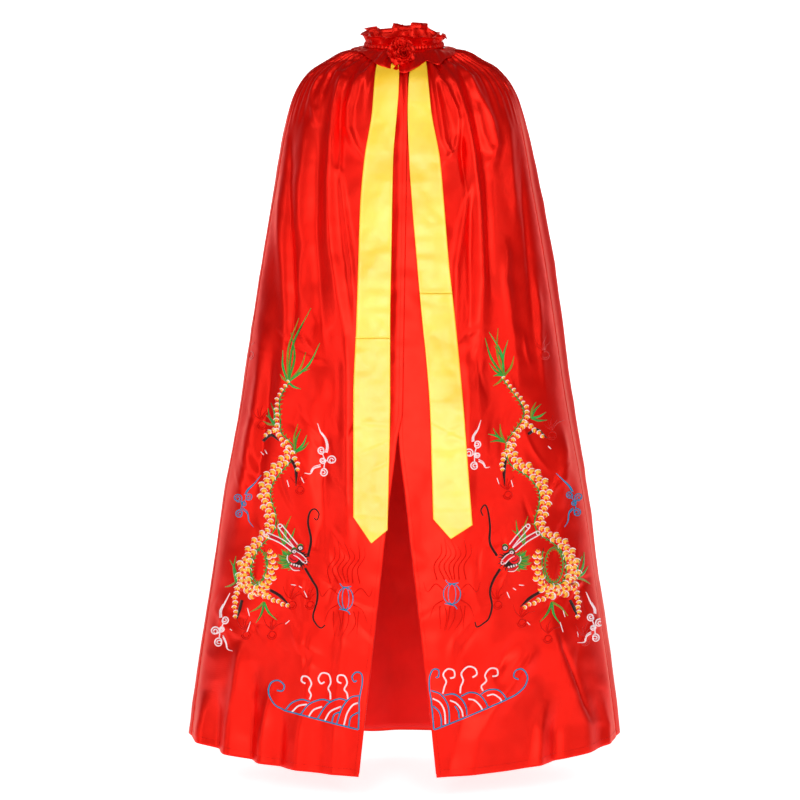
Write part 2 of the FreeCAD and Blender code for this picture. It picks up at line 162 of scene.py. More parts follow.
# ------------------------------------------------------------------ folds
# each ridge runs down the cloth: (column, row, height in mm, width left, width right)
R_SIDE = (   # front panel on the -X side
    ((352, 66, 3, 4, 4), (342, 74, 8, 5, 4), (336, 105, 11, 6, 5), (332.5, 142, 11, 7, 5), (330, 180, 10, 7, 6),
     (330, 217, 9, 8, 6), (332.5, 255, 8, 9, 7), (337.5, 292, 7, 9, 8), (344, 327, 5, 10, 9), (350, 380, 3, 12, 10), (352, 450, 0, 12, 12)),
    ((372, 66, 4, 4, 4), (362, 76, 7, 4, 4), (355, 87, 8, 4, 4), (349, 105, 8, 4, 4), (348, 127, 7, 4, 4), (354, 145, 5, 4, 4),
     (362, 157, 3, 4, 4), (370, 168, 0, 4, 4)),
    ((345, 80, -2, 3, 3), (341, 92, -5, 3, 3), (339, 120, -6, 3, 3), (339, 137, -6, 3, 3), (339, 160, -4, 3, 3), (342, 185, 0, 3, 3)),
    ((352, 60, 2, 4, 4), (340, 64, 5, 4, 4), (330, 70, 6, 4, 4), (318, 79, 6, 5, 4), (314, 90, 6, 5, 4), (312, 105, 5, 5, 4),
     (315, 118, 3, 4, 4), (318, 128, 0, 4, 4)),
    ((322, 82, 0, 3, 3), (321, 95, 3, 3, 3), (319, 110, 3, 3, 3), (317, 122, 0, 3, 3)),
    ((308, 115, 0, 8, 8), (306, 127, 4, 8, 8), (305, 155, 7, 9, 9), (301, 185, 7, 9, 9), (300, 215, 6, 8, 8), (303, 245, 3, 8, 8),
     (301, 260, 3, 5, 5), (299, 290, 3, 5, 5), (300, 315, 0, 5, 5)),
    ((287, 130, 0, 6, 6), (281, 165, 4, 6, 6), (279, 205, 5, 6, 6), (282, 255, 5, 6, 6), (285, 317, 4, 6, 6), (283, 360, 2, 6, 6), (280, 400, 0, 6, 6)),
    ((290, 115, 0, 3, 4), (290, 140, -4, 3, 4), (290, 230, -5, 3, 4), (293, 300, -5, 3, 4), (292, 345, 0, 3, 4)),
    ((318, 130, 0, 5, 5), (317, 160, -3, 5, 5), (316, 220, -4, 6, 6), (318, 280, -4, 6, 6), (322, 330, -2, 6, 6), (325, 380, 0, 6, 6)),
    ((338, 165, 0, 3, 3), (340, 172, 2.5, 3, 3), (346, 225, 4, 4, 3), (351, 262, 4, 4, 3), (354, 300, 3, 4, 4), (356, 345, 0, 4, 4)),
    ((346, 335, 0, 8, 6), (347, 370, 4, 8, 6), (347, 440, 5, 9, 6), (348, 500, 4, 9, 6), (350, 560, 0, 9, 6)),
    ((322, 400, 0, 8, 8), (320, 440, -4, 8, 8), (322, 500, -4, 8, 8), (325, 560, 0, 8, 8)),
    ((241, 640, 0, 6, 6), (240, 655, 5, 6, 6), (236, 690, 8, 7, 7), (230, 725, 9, 8, 8), (228, 760, 9, 8, 8)),
    ((252, 660, 0, 6, 6), (250, 690, -5, 6, 6), (247, 735, -8, 7, 7), (246, 780, -8, 7, 7)),
    ((272, 680, 0, 6, 6), (266, 710, 5, 6, 6), (262, 742, 8, 8, 8), (260, 790, 8, 8, 8)),
    ((312, 650, 0, 6, 6), (308, 690, 3, 7, 7), (300, 740, 6, 9, 9), (296, 790, 7, 9, 9)),
    ((283, 690, 0, 6, 6), (280, 720, -4, 6, 6), (278, 755, -7, 7, 7), (277, 790, -7, 7, 7)),
    ((205, 690, 0, 6, 5), (203, 712, 5, 6, 5), (200, 735, 7, 6, 5), (199, 780, 7, 6, 5)),
    ((216, 680, 0, 6, 6), (214, 710, -5, 6, 6), (212, 740, -7, 6, 6), (211, 790, -7, 6, 6)),
    ((262, 330, 0, 6, 6), (258, 380, 4, 6, 6), (250, 440, 5, 7, 7), (243, 500, 4, 7, 7), (236, 560, 0, 7, 7)),
    ((272, 340, 0, 5, 5), (268, 390, -4, 5, 5), (262, 450, -4, 5, 5), (256, 500, 0, 5, 5)),
    ((345, 600, 0, 6, 6), (342, 650, 3, 6, 6), (336, 700, 4, 7, 7), (332, 760, 5, 8, 8), (331, 800, 5, 8, 8)),
)
L_SIDE = (   # front panel on the +X side
    ((440, 62, 2, 4, 4), (446, 67, 6, 4, 4), (455, 85, 8, 5, 4), (464, 115, 10, 5, 5), (472, 155, 11, 5, 6), (477, 195, 10, 5, 6),
     (480, 242, 9, 6, 6), (481, 280, 8, 6, 7), (479, 327, 6, 7, 8), (478, 380, 3, 8, 8), (478, 450, 0, 8, 8)),
    ((430, 65, 3, 3, 3), (436, 72, 6, 3, 3), (445, 87, 7, 3, 3), (455, 110, 7, 4, 3), (460, 135, 6, 4, 3), (455, 152, 5, 4, 4),
     (447, 160, 3, 4, 4), (441, 170, 0, 4, 4)),
    ((431, 68, 2, 3, 3), (439, 105, 4, 3, 3), (444, 140, 4, 3, 3), (450, 153, 3, 3, 3), (452, 160, 0, 3, 3)),
    ((458, 120, 0, 2.5, 2.5), (461, 135, -6, 2.5, 2.5), (462.5, 150, -10, 3, 3), (464, 167, -8, 3, 3), (466, 185, -3, 3, 3), (468, 205, 0, 3, 3)),
    ((447, 62, 2, 3, 4), (455, 67, 5, 3, 4), (470, 77, 7, 4, 4), (482, 102, 7, 4, 4), (491, 122, 7, 5, 4), (496, 145, 6, 5, 5),
     (494, 158, 4, 5, 5), (488, 170, 0, 5, 5)),
    ((474, 100, 0, 3, 3), (478, 115, 3, 3, 3), (483, 135, 3, 3, 3), (489, 148, 2, 3, 3), (493, 155, 0, 3, 3)),
    ((486, 160, 0, 4, 4), (487, 180, -4, 4, 4), (489, 230, -5, 4, 4), (490, 275, -4, 4, 4), (490, 305, 0, 4, 4)),
    ((468, 90, 0, 4, 4), (476, 120, -4, 4, 4), (482, 150, -5, 4, 4), (484, 165, -2, 4, 4), (484, 180, 0, 4, 4)),
    ((505, 110, 0, 6, 6), (509, 130, 4, 6, 6), (510, 167, 6, 6, 6), (514, 200, 4, 5, 5), (516, 230, 0, 5, 5)),
    ((506, 235, 0, 5, 5), (506, 255, 4, 5, 5), (505, 280, 5, 5, 6), (510, 317, 5, 6, 7), (516, 360, 3, 6, 7), (520, 400, 0, 6, 7)),
    ((469, 175, 0, 3, 3), (469, 190, 3, 3, 3), (461, 235, 5, 4, 4), (456, 267, 5, 4, 4), (456, 292, 4, 4, 4), (457, 330, 2, 4, 4), (458, 355, 0, 4, 4)),
    ((470, 195, 0, 3, 3), (470, 215, -3, 3, 3), (470, 260, -4, 3, 3), (470, 300, -3, 3, 3), (469, 345, 0, 3, 3)),
    ((521, 150, 0, 3, 4), (524, 200, -4, 3, 4), (528, 250, -4, 3, 4), (532, 300, -3, 3, 4), (534, 345, 0, 3, 4)),
    ((536, 270, 0, 3, 4), (538, 300, 3, 3, 4), (540, 340, 3, 3, 4), (545, 400, 0, 3, 4)),
    ((466, 335, 0, 6, 8), (467, 370, 4, 6, 8), (468, 440, 5, 7, 9), (466, 500, 4, 7, 9), (460, 560, 0, 7, 9)),
    ((562, 425, 0, 6, 6), (563, 450, 4, 6, 6), (562, 480, 4, 6, 6), (560, 510, 0, 6, 6)),
    ((550, 610, 0, 8, 8), (556, 650, 5, 10, 8), (570, 690, 8, 12, 10), (582, 722, 9, 12, 12), (588, 780, 9, 12, 12)),
    ((556, 630, 0, 2, 3), (562, 650, -3, 2, 3), (572, 672, -4, 2, 3), (582, 705, -3, 3, 3), (590, 725, 0, 3, 3)),
    ((534, 640, 0, 8, 8), (524, 665, 5, 8, 8), (508, 690, 6, 9, 9), (490, 715, 5, 10, 10), (478, 740, 4, 10, 10), (470, 790, 3, 10, 10)),
    ((520, 630, 0, 9, 9), (505, 655, -4, 9, 9), (485, 680, -5, 9, 9), (462, 720, -4, 9, 9), (445, 790, -3, 9, 9)),
    ((600, 690, 0, 5, 5), (606, 725, 5, 5, 5), (607, 780, 6, 5, 5)),
    ((545, 700, 0, 7, 7), (540, 730, 6, 7, 7), (536, 790, 7, 7, 7)),
    ((560, 700, 0, 6, 6), (558, 730, -5, 6, 6), (556, 790, -6, 6, 6)),
)


def ridges_at(table, col, row):
    out = np.zeros_like(col)
    for ridge in table:
        r = np.array(ridge, float)
        inside = (row >= r[0, 1] - 4) & (row <= r[-1, 1] + 4)
        if not inside.any():
            continue
        c, w = col[inside], row[inside]
        x = np.interp(w, r[:, 1], r[:, 0])
        h = np.interp(w, r[:, 1], r[:, 2])
        wl = np.interp(w, r[:, 1], r[:, 3])
        wr = np.interp(w, r[:, 1], r[:, 4])
        slope = np.gradient(r[:, 0], r[:, 1])
        k = np.sqrt(1 + np.interp(w, r[:, 1], slope) ** 2)
        d = (c - x) / k
        s = np.abs(d) / np.where(d < 0, wl, wr)
        out[inside] += h * (1.25 + 0.35 * smooth(w, 300, 520)) * np.exp(-s ** 1.75)
    return out / 1000.0


rng = np.random.RandomState(7)
CREASES = []          # short soft creases round the embroidery and near the neck
for side, spots in ((-1, ((285, 430), (262, 500), (250, 600), (300, 570), (325, 560), (330, 450), (300, 650), (225, 620), (340, 620), (300, 350))),
                    (1, ((515, 420), (545, 480), (560, 590), (510, 560), (480, 560), (480, 450), (510, 650), (590, 610), (455, 620), (500, 350)))):
    for cx, cy in spots:
        for _ in range(7):
            ang = rng.uniform(-0.9, 0.9) + math.pi / 2 + 0.35 * side
            CREASES.append((side, cx + rng.normal(0, 16), cy + rng.normal(0, 20), ang, rng.uniform(9, 22), rng.uniform(1.6, 3.2),
                            rng.choice([-1, 1]) * rng.uniform(0.5, 1.5)))


def creases_at(side, col, row):
    out = np.zeros_like(col)
    for s, cx, cy, ang, length, width, h in CREASES:
        if s != side:
            continue
        dx, dy = col - cx, row - cy
        near = (np.abs(dx) < 50) & (np.abs(dy) < 50)
        u = dx[near] * math.cos(ang) + dy[near] * math.sin(ang)
        v = -dx[near] * math.sin(ang) + dy[near] * math.cos(ang) + 0.006 * u * u
        out[near] += 1.7 * h * np.exp(-(u / length) ** 2 - np.abs(v / width) ** 1.7)
    return out / 1000.0


# the back and sides: long folds that fan out from the gathered neck
BACK_FOLDS = []
_a = math.radians(97)
_k = 0
while _a < math.radians(263):
    BACK_FOLDS.append((_a, rng.uniform(-0.05, 0.05), rng.uniform(0.7, 1.25), rng.uniform(0.8, 1.3), rng.uniform(0.35, 0.9)))
    _a += math.radians(rng.uniform(11, 17))


def angle_folds(phi, t):
    """Displacement from folds that are laid out by angle round the neck."""
    p = np.mod(phi, 2 * math.pi)
    s = t / T_END
    R = 0.075 + 0.27 * s
    out = np.zeros_like(p)
    for a0, drift, hh, ww, reach in BACK_FOLDS:
        centre = a0 + drift * s + 0.02 * np.sin(7 * s + 9 * a0)
        d = (np.mod(p - centre + math.pi, 2 * math.pi) - math.pi) * R
        w = (0.0085 + 0.027 * s) * ww
        amp = (0.005 + 0.0095 * smooth(s, 0.02, 0.25)) * (1 - 0.35 * smooth(s, reach, 1.1)) * hh
        out += amp * np.exp(-np.abs(d / w) ** 1.8)
    out += -0.0050 + 0.0035 * np.sin(p * 23 + 5 * s) * smooth(s, 0.55, 1.0)
    gathers = 0.0022 * np.sin(p * 61 + 2 * np.sin(5 * p)) * (1 - smooth(s, 0.05, 0.16))
    # quiet on the fronts, where the folds are listed one by one
    side_mask = smooth(np.minimum(p, 2 * math.pi - p), math.radians(62), math.radians(96))
    return out * side_mask + gathers


def displaced(phi, t, side):
    """Points of the outer cloth. side is +1 or -1 on a front panel, 0 on the back."""
    P = mean_point(phi, t)
    N = mean_normal(phi, t)
    D = angle_folds(phi, t)
    seam = np.abs(P[..., 1] - SEAM_Y)
    if side:
        col, row = to_view(P)
        D = D + (ridges_at(L_SIDE if side > 0 else R_SIDE, col, row) + creases_at(side, col, row)
                 + 0.0009 * value_noise(col, row, 5, 14) + 0.0018 * value_noise(col, row, 9, 40)
                 + 0.0040 * smooth(row, 250, 480) * value_noise((col - 404) * 400 / (row + 150), row * 0.16, 15, 17)) * smooth(seam, 0.0, 0.05)
        if side < 0:      # this front lies over the other one above the opening
            edge = slit_x(P[..., 2], 1)
            D = D + 0.0032 * smooth(P[..., 0], edge - 0.020, edge - 0.003) * (1 - smooth(-P[..., 2], 0.72, 0.80))
    else:
        D = D + (0.0009 * value_noise(P[..., 0] * 1000, P[..., 2] * 1000, 3, 30)
                 + 0.0016 * value_noise(P[..., 0] * 1000, P[..., 2] * 1000, 4, 85)) * smooth(seam, 0.0, 0.05)
    # puckered side seam
    D = D - 0.0010 * np.exp(-(seam / 0.0025) ** 2) * smooth(t, 0.03, 0.08)
    D = D + 0.00025 * np.sin(P[..., 2] * 2 * math.pi / 0.021) * np.exp(-(seam / 0.011) ** 2) * smooth(t, 0.03, 0.1)
    D = D * smooth(t, 0.0, 0.03)
    return P + N * D[..., None], N


# ------------------------------------------------------------------ mesh helpers
def new_object(name, verts, faces, mats=(), uvs=None, smooth_shade=True):
    me = bpy.data.meshes.new(name)
    me.from_pydata([tuple(v) for v in verts], [], faces)
    me.validate(clean_customdata=False)
    me.update()
    if smooth_shade:
        me.polygons.foreach_set("use_smooth", [True] * len(me.polygons))
    for m in mats:
        me.materials.append(m)
    if uvs is not None:
        layer = me.uv_layers.new(name="UVMap")
        idx = np.empty(len(me.loops), np.int32)
        me.loops.foreach_get("vertex_index", idx)
        layer.data.foreach_set("uv", np.asarray(uvs, np.float32)[idx].ravel())
    ob = bpy.data.objects.new(name, me)
    bpy.context.scene.collection.objects.link(ob)
    return ob


def grid_normals(P):
    du = np.gradient(P, axis=1)
    dv = np.gradient(P, axis=0)
    n = np.cross(dv, du)
    return n / (np.linalg.norm(n, axis=-1, keepdims=True) + 1e-12)


def slab(name, P, thick, mats, uv=None, outward=None, closed_u=False):
    """A closed sheet from a grid of outer points [rows, columns] and a thickness."""
    N = grid_normals(P) if outward is None else outward
    if outward is None:
        ref = (N * (P - P.reshape(-1, 3).mean(0)) * np.array([1, 1, 0])).sum()
        if ref < 0:
            N = -N
    Q = P - N * thick
    nv, nu = P.shape[:2]
    verts = np.concatenate([P.reshape(-1, 3), Q.reshape(-1, 3)])
    idx = np.arange(nv * nu).reshape(nv, nu)
    o = nv * nu
    wrap = nu if closed_u else nu - 1
    j = np.arange(wrap)
    j2 = (j + 1) % nu
    a, b = idx[:-1][:, j], idx[:-1][:, j2]
    c, d = idx[1:][:, j2], idx[1:][:, j]
    faces = [tuple(f) for f in np.stack([a, b, c, d], -1).reshape(-1, 4)]
    faces += [tuple(f) for f in np.stack([d, c, b, a], -1).reshape(-1, 4) + o]
    top, bot = idx[0], idx[-1]
    for k in range(wrap):
        k2 = (k + 1) % nu
        faces.append((top[k2], top[k], top[k] + o, top[k2] + o))
        faces.append((bot[k], bot[k2], bot[k2] + o, bot[k] + o))
    if not closed_u:
        l, r = idx[:, 0], idx[:, -1]
        for k in range(nv - 1):
            faces.append((l[k], l[k + 1], l[k + 1] + o, l[k] + o))
            faces.append((r[k + 1], r[k], r[k] + o, r[k + 1] + o))
    uvs = None
    if uv is not None:
        u = uv.reshape(-1, 2)
        uvs = np.concatenate([u, u])
    ob = new_object(name, verts, faces, mats, uvs)
    me = ob.data
    skin = 2 * (nv - 1) * wrap
    me.polygons.foreach_set("use_smooth", [i < skin for i in range(len(me.polygons))])
    f0 = me.polygons[(nv // 2) * wrap + wrap // 2]
    n0 = N[nv // 2, wrap // 2]
    if Vector(n0).dot(f0.normal) < 0:
        me.flip_normals()
    return ob


def grid_area(P):
    a = np.cross(P[1:, :-1] - P[:-1, :-1], P[:-1, 1:] - P[:-1, :-1])
    b = np.cross(P[1:, :-1] - P[1:, 1:], P[:-1, 1:] - P[1:, 1:])
    return 0.5 * (np.linalg.norm(a, axis=-1).sum() + np.linalg.norm(b, axis=-1).sum())


# ------------------------------------------------------------------ materials
def nodes_of(name):
    m = bpy.data.materials.new(name)
    m.use_nodes = True
    nt = m.node_tree
    return m, nt, nt.nodes["Principled BSDF"]


def add(nt, kind, **values):
    n = nt.nodes.new(kind)
    for k, v in values.items():
        if k in n.inputs:
            n.inputs[k].default_value = v
        else:
            setattr(n, k, v)
    return n


def mixed_colour(nt, bsdf, c1, c2, scale, detail=4, lo=0.35, hi=0.7, coords=None):
    tc = add(nt, "ShaderNodeTexCoord")
    noise = add(nt, "ShaderNodeTexNoise", Scale=scale, Detail=detail, Roughness=0.55)
    nt.links.new(tc.outputs["Object"], noise.inputs["Vector"])
    ramp = add(nt, "ShaderNodeValToRGB")
    ramp.color_ramp.elements[0].position, ramp.color_ramp.elements[1].position = lo, hi
    ramp.color_ramp.elements[0].color = (*c1, 1)
    ramp.color_ramp.elements[1].color = (*c2, 1)
    nt.links.new(noise.outputs["Fac"], ramp.inputs["Fac"])
    nt.links.new(ramp.outputs["Color"], bsdf.inputs["Base Color"])
    return tc, noise, ramp


def satin(name, c1, c2, tint, rough=0.3, weave=1500.0, bump=0.12, sheen=0.04, spec=0.5, aniso=0.5, slub=0.08, metal=0.0):
    m, nt, b = nodes_of(name)
    tc, noise, ramp = mixed_colour(nt, b, c1, c2, 9.0)
    b.inputs["Metallic"].default_value = metal
    b.inputs["Specular IOR Level"].default_value = spec
    b.inputs["Specular Tint"].default_value = (*tint, 1)
    b.inputs["Sheen Weight"].default_value = sheen
    b.inputs["Sheen Roughness"].default_value = 0.4
    b.inputs["Sheen Tint"].default_value = (*c2, 1)
    b.inputs["Anisotropic"].default_value = aniso
    # fine floats of the satin weave, with slubs
    wave = add(nt, "ShaderNodeTexWave", Scale=weave / 10, Distortion=0.6, Detail=1.0)
    wave.wave_type, wave.bands_direction = "BANDS", "DIAGONAL"
    nt.links.new(tc.outputs["Object"], wave.inputs["Vector"])
    mapping = add(nt, "ShaderNodeMapping")
    mapping.inputs["Scale"].default_value = (160, 160, 9)
    nt.links.new(tc.outputs["Object"], mapping.inputs["Vector"])
    streak = add(nt, "ShaderNodeTexNoise", Scale=1.0, Detail=3.0)
    nt.links.new(mapping.outputs["Vector"], streak.inputs["Vector"])
    soft = add(nt, "ShaderNodeTexNoise", Scale=55.0, Detail=4.0, Roughness=0.6)
    nt.links.new(tc.outputs["Object"], soft.inputs["Vector"])
    mix1 = add(nt, "ShaderNodeMath", operation="MULTIPLY_ADD")
    mix1.inputs[1].default_value = slub * 4
    nt.links.new(streak.outputs["Fac"], mix1.inputs[0])
    nt.links.new(wave.outputs["Fac"], mix1.inputs[2])
    bump1 = add(nt, "ShaderNodeBump", Strength=bump, Distance=0.0004)
    nt.links.new(mix1.outputs[0], bump1.inputs["Height"])
    bump2 = add(nt, "ShaderNodeBump", Strength=0.25, Distance=0.0012)
    nt.links.new(soft.outputs["Fac"], bump2.inputs["Height"])
    nt.links.new(bump1.outputs["Normal"], bump2.inputs["Normal"])
    nt.links.new(bump2.outputs["Normal"], b.inputs["Normal"])
    r = add(nt, "ShaderNodeMapRange")
    r.inputs["To Min"].default_value = rough - 0.05
    r.inputs["To Max"].default_value = rough + 0.08
    nt.links.new(soft.outputs["Fac"], r.inputs["Value"])
    nt.links.new(r.outputs["Result"], b.inputs["Roughness"])
    return m


RED = satin("red_satin_cloth", (0.74, 0.0003, 0.0001), (0.88, 0.001, 0.0004), (1.0, 0.42, 0.24), rough=0.36, sheen=0.0, spec=1.0, metal=0.55)
# darker copy of the red satin for the ruffle, channel, frill and rosette: painted shade of the gathered cloth at the
# neck
RED_SHADED = satin("red_satin_gathered", (0.70, 0.0003, 0.0001), (0.84, 0.001, 0.0004), (1.0, 0.42, 0.24), rough=0.36, sheen=0.0, spec=1.0, metal=0.55)
YELLOW = satin("yellow_satin_ribbon", (0.96, 0.55, 0.012), (1.0, 0.70, 0.045), (1.0, 1.0, 1.0), rough=0.36, sheen=0.0, spec=1.0, metal=0.0)


def lining_material():
    m, nt, b = nodes_of("red_lining_cloth")
    tc, noise, ramp = mixed_colour(nt, b, (0.70, 0.0, 0.0006), (0.88, 0.0, 0.001), 7.0)
    b.inputs["Roughness"].default_value = 0.55
    b.inputs["Specular Tint"].default_value = (1, 0.3, 0.2, 1)
    b.inputs["Sheen Weight"].default_value = 0.2
    wx = add(nt, "ShaderNodeTexWave", Scale=260.0)
    wx.bands_direction = "X"
    wz = add(nt, "ShaderNodeTexWave", Scale=260.0)
    wz.bands_direction = "Z"
    for w in (wx, wz):
        nt.links.new(tc.outputs["Object"], w.inputs["Vector"])
    mul = add(nt, "ShaderNodeMath", operation="ADD")
    nt.links.new(wx.outputs["Fac"], mul.inputs[0])
    nt.links.new(wz.outputs["Fac"], mul.inputs[1])
    bump = add(nt, "ShaderNodeBump", Strength=0.2, Distance=0.0004)
    nt.links.new(mul.outputs[0], bump.inputs["Height"])
    nt.links.new(bump.outputs["Normal"], b.inputs["Normal"])
    return m


LINING = lining_material()


def thread(name, c1, c2, rough=0.38, tint=None, sheen=0.15, spec=0.5):
    """Embroidery thread: fine stitches lie across the stroke."""
    m, nt, b = nodes_of(name)
    uv = add(nt, "ShaderNodeUVMap")
    wave = add(nt, "ShaderNodeTexWave", Scale=420.0, Distortion=1.5, Detail=2.0)
    wave.bands_direction = "X"
    nt.links.new(uv.outputs["UV"], wave.inputs["Vector"])
    tc = add(nt, "ShaderNodeTexCoord")
    noise = add(nt, "ShaderNodeTexNoise", Scale=140.0, Detail=3.0)
    nt.links.new(tc.outputs["Object"], noise.inputs["Vector"])
    fac = add(nt, "ShaderNodeMath", operation="MULTIPLY")
    nt.links.new(wave.outputs["Fac"], fac.inputs[0])
    nt.links.new(noise.outputs["Fac"], fac.inputs[1])
    ramp = add(nt, "ShaderNodeValToRGB")
    ramp.color_ramp.elements[0].color = (*c1, 1)
    ramp.color_ramp.elements[1].color = (*c2, 1)
    ramp.color_ramp.elements[0].position, ramp.color_ramp.elements[1].position = 0.1, 0.5
    nt.links.new(fac.outputs[0], ramp.inputs["Fac"])
    nt.links.new(ramp.outputs["Color"], b.inputs["Base Color"])
    bump = add(nt, "ShaderNodeBump", Strength=0.5, Distance=0.0004)
    nt.links.new(wave.outputs["Fac"], bump.inputs["Height"])
    nt.links.new(bump.outputs["Normal"], b.inputs["Normal"])
    b.inputs["Roughness"].default_value = rough
    b.inputs["Sheen Weight"].default_value = sheen
    b.inputs["Specular Tint"].default_value = (*(tint or c2), 1)
    b.inputs["Specular IOR Level"].default_value = spec
    return m


T_WHITE = thread("thread_white_pink", (0.86, 0.62, 0.66), (1.0, 0.90, 0.92), tint=(1, 1, 1))
T_CREAM = thread("thread_cream", (0.90, 0.70, 0.72), (1.0, 0.90, 0.88), tint=(1, 1, 1))
T_YELLOW = thread("thread_yellow", (0.90, 0.30, 0.012), (1.0, 0.66, 0.07))
T_ORANGE = thread("thread_orange", (0.74, 0.004, 0.002), (0.90, 0.05, 0.01))
T_GREEN = thread("thread_green", (0.02, 0.16, 0.02), (0.07, 0.42, 0.05))
T_OLIVE = thread("thread_olive", (0.16, 0.15, 0.01), (0.33, 0.36, 0.03))
T_MINT = thread("thread_bright_green", (0.01, 0.27, 0.04), (0.05, 0.50, 0.09), spec=0.25)
T_BLUE = thread("thread_blue", (0.0, 0.18, 0.36), (0.0, 0.30, 0.56), rough=0.6, tint=(0.1, 0.6, 1.0), sheen=0.0, spec=0.05)
T_DARK = thread("thread_black_brown", (0.012, 0.004, 0.004), (0.05, 0.015, 0.012))
T_SCARLET = thread("thread_scarlet", (0.62, 0.0, 0.01), (0.85, 0.02, 0.02), rough=0.32)
T_HORN = thread("thread_crimson", (0.50, 0.0, 0.01), (0.70, 0.01, 0.02), rough=0.32)
T_RED = thread("thread_dark_red", (0.50, 0.0, 0.0), (0.70, 0.004, 0.002), rough=0.3, tint=(1.0, 0.12, 0.06), sheen=0.0)

# ------------------------------------------------------------------ panels
NECK_T = 0.0


def hem_limit(phi_of_t, cols):
    """For each column, the t where the cloth meets the hem."""
    ts = np.linspace(0, T_END, 700)
    out = []
    for c in cols:
        P = mean_point(phi_of_t(c, ts), ts)
        f = P[:, 2] - hem_z(P[:, 0])
        k = np.where(f < 0)[0]
        if len(k) == 0:
            out.append(T_END)
            continue
        i = k[0]
        out.append(ts[i - 1] + (ts[i] - ts[i - 1]) * f[i - 1] / (f[i - 1] - f[i]))
    return np.array(out)


def phi_slit(t, side):
    """Angle of the front edge."""
    phi = np.zeros_like(t)
    for _ in range(4):
        P = mean_point(phi, t)
        a = pchip(KNOT, SEC[:, 1], t)
        phi = np.arcsin(np.clip(slit_x(P[..., 2], side) / a, -1, 1))
    return phi


def phi_seam(t, side):
    b, yc = pchip(KNOT, SEC[:, 2], t), pchip(KNOT, SEC[:, 3], t)
    tau = np.radians(pchip(KNOT, SEC[:, 4], t))
    c = np.clip((yc - SEAM_Y) / (b * np.cos(tau)), -1, 1)
    return side * np.arccos(c)


def front_grid(side, nu, nv, shrink=0.0):
    cols = np.linspace(0, 1, nu)

    def phi_of(c, t):
        a, b = phi_slit(t, side), phi_seam(t, side)
        return a + (b - a) * c
    lim = hem_limit(phi_of, cols)
    rows = np.linspace(0, 1, nv) ** 1.12
    T = rows[:, None] * (lim - shrink)[None, :]
    a, b = phi_slit(T, side), phi_seam(T, side)
    PHI = a + (b - a) * cols[None, :]
    return PHI, T


def back_grid(nu, nv, shrink=0.0):
    cols = np.linspace(0, 1, nu)

    def phi_of(c, t):
        a = phi_seam(t, 1)
        return a + (2 * math.pi - 2 * a) * c
    lim = hem_limit(phi_of, cols)
    rows = np.linspace(0, 1, nv) ** 1.12
    T = rows[:, None] * (lim - shrink)[None, :]
    a = phi_seam(T, 1)
    return a + (2 * math.pi - 2 * a) * cols[None, :], T


def hold(ob):
    """A piece on a front panel: its transform is baked into the mesh."""
    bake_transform(ob)


pieces = {}
bvh = {}
LIN_OFF = 0.0026
for side, word in ((1, "left"), (-1, "right")):
    PHI, T = front_grid(side, 150, 380)
    P, N = displaced(PHI, T, side)
    G = grid_normals(P)
    if (G * N).sum() < 0:
        G = -G
    uv = np.stack([PHI * 0.3, T], -1)
    ob = slab(word + "_front_cloth", P, 0.0009, [RED], uv, outward=G)
    pieces[word + "_front_cloth"] = (ob, grid_area(P))
    verts = [tuple(p) for p in P.reshape(-1, 3)]
    idx = np.arange(P.shape[0] * P.shape[1]).reshape(P.shape[:2])
    quads = [tuple(f) for f in np.stack([idx[:-1, :-1], idx[:-1, 1:], idx[1:, 1:], idx[1:, :-1]], -1).reshape(-1, 4)]
    bvh[side] = BVHTree.FromPolygons(verts, quads)
    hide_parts(word + "_front_panel", word + "_shoulder_panel")
    # lining: the same folds, a little inside
    PHI, T = front_grid(side, 90, 200, shrink=0.006)
    L, N = displaced(PHI, T, side)
    G = grid_normals(L)
    if (G * N).sum() < 0:
        G = -G
    L = L - G * LIN_OFF
    lo = slab(word + "_front_lining_cloth", L, 0.0005, [LINING], np.stack([PHI * 0.3, T], -1), outward=G)
    pieces[word + "_front_lining_cloth"] = (lo, grid_area(L))
    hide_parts(word + "_front_lining", word + "_shoulder_lining")

PHI, T = back_grid(230, 240)
P, N = displaced(PHI, T, 0)
G = grid_normals(P)
if (G * N).sum() < 0:
    G = -G
back = slab("back_cloth", P, 0.0009, [RED], np.stack([PHI * 0.3, T], -1), outward=G)
back_area = grid_area(P)
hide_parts("back_panel")
PHI, T = back_grid(150, 150, shrink=0.006)
L, N = displaced(PHI, T, 0)
G = grid_normals(L)
if (G * N).sum() < 0:
    G = -G
L = L - G * LIN_OFF
back_lin = slab("back_lining_cloth", L, 0.0005, [LINING], np.stack([PHI * 0.3, T], -1), outward=G)
back_lin_area = grid_area(L)
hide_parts("back_lining")

for ob, flat, area in ((back, (1.62, 1.40), back_area), (back_lin, (1.60, 1.39), back_lin_area)):
    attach(ob, CLOAK)
for side, word in ((1, "left"), (-1, "right")):
    for kind in ("_front_cloth", "_front_lining_cloth"):
        hold(pieces[word + kind][0])

# ------------------------------------------------------------------ neck ruffle, channel and frill
TILT = math.radians(15)


def neck_to_row(r, th, h):
    """Neck ring coordinates to the row frame. th = 0 is the front, positive towards +X."""
    x, y = r * np.sin(th), -r * np.cos(th)
    return np.stack([x, y * math.cos(TILT) - h * math.sin(TILT), y * math.sin(TILT) + h * math.cos(TILT)], -1)


def ring_noise(th, seed, n):
    r = np.random.RandomState(seed)
    out = np.zeros_like(th)
    for k in range(1, n + 1):
        out += r.normal() * np.cos(k * th + r.uniform(0, 6.28))
    return out / math.sqrt(n)


# the standing edge seen from the front: x in mm, view row of the rim behind the neck
RIM = np.array([(-80, 31), (-77, 28.5), (-66, 27), (-52, 27.2), (-49, 28.6), (-30, 28.4), (-27, 23.8), (-12, 23.6), (-5, 26.0), (0, 23.8),
                (7, 25.6), (18, 25.6), (22, 22.8), (36, 22.4), (48, 24.2), (55, 27), (60, 31.5), (67, 32), (72, 34), (78, 37)], float)


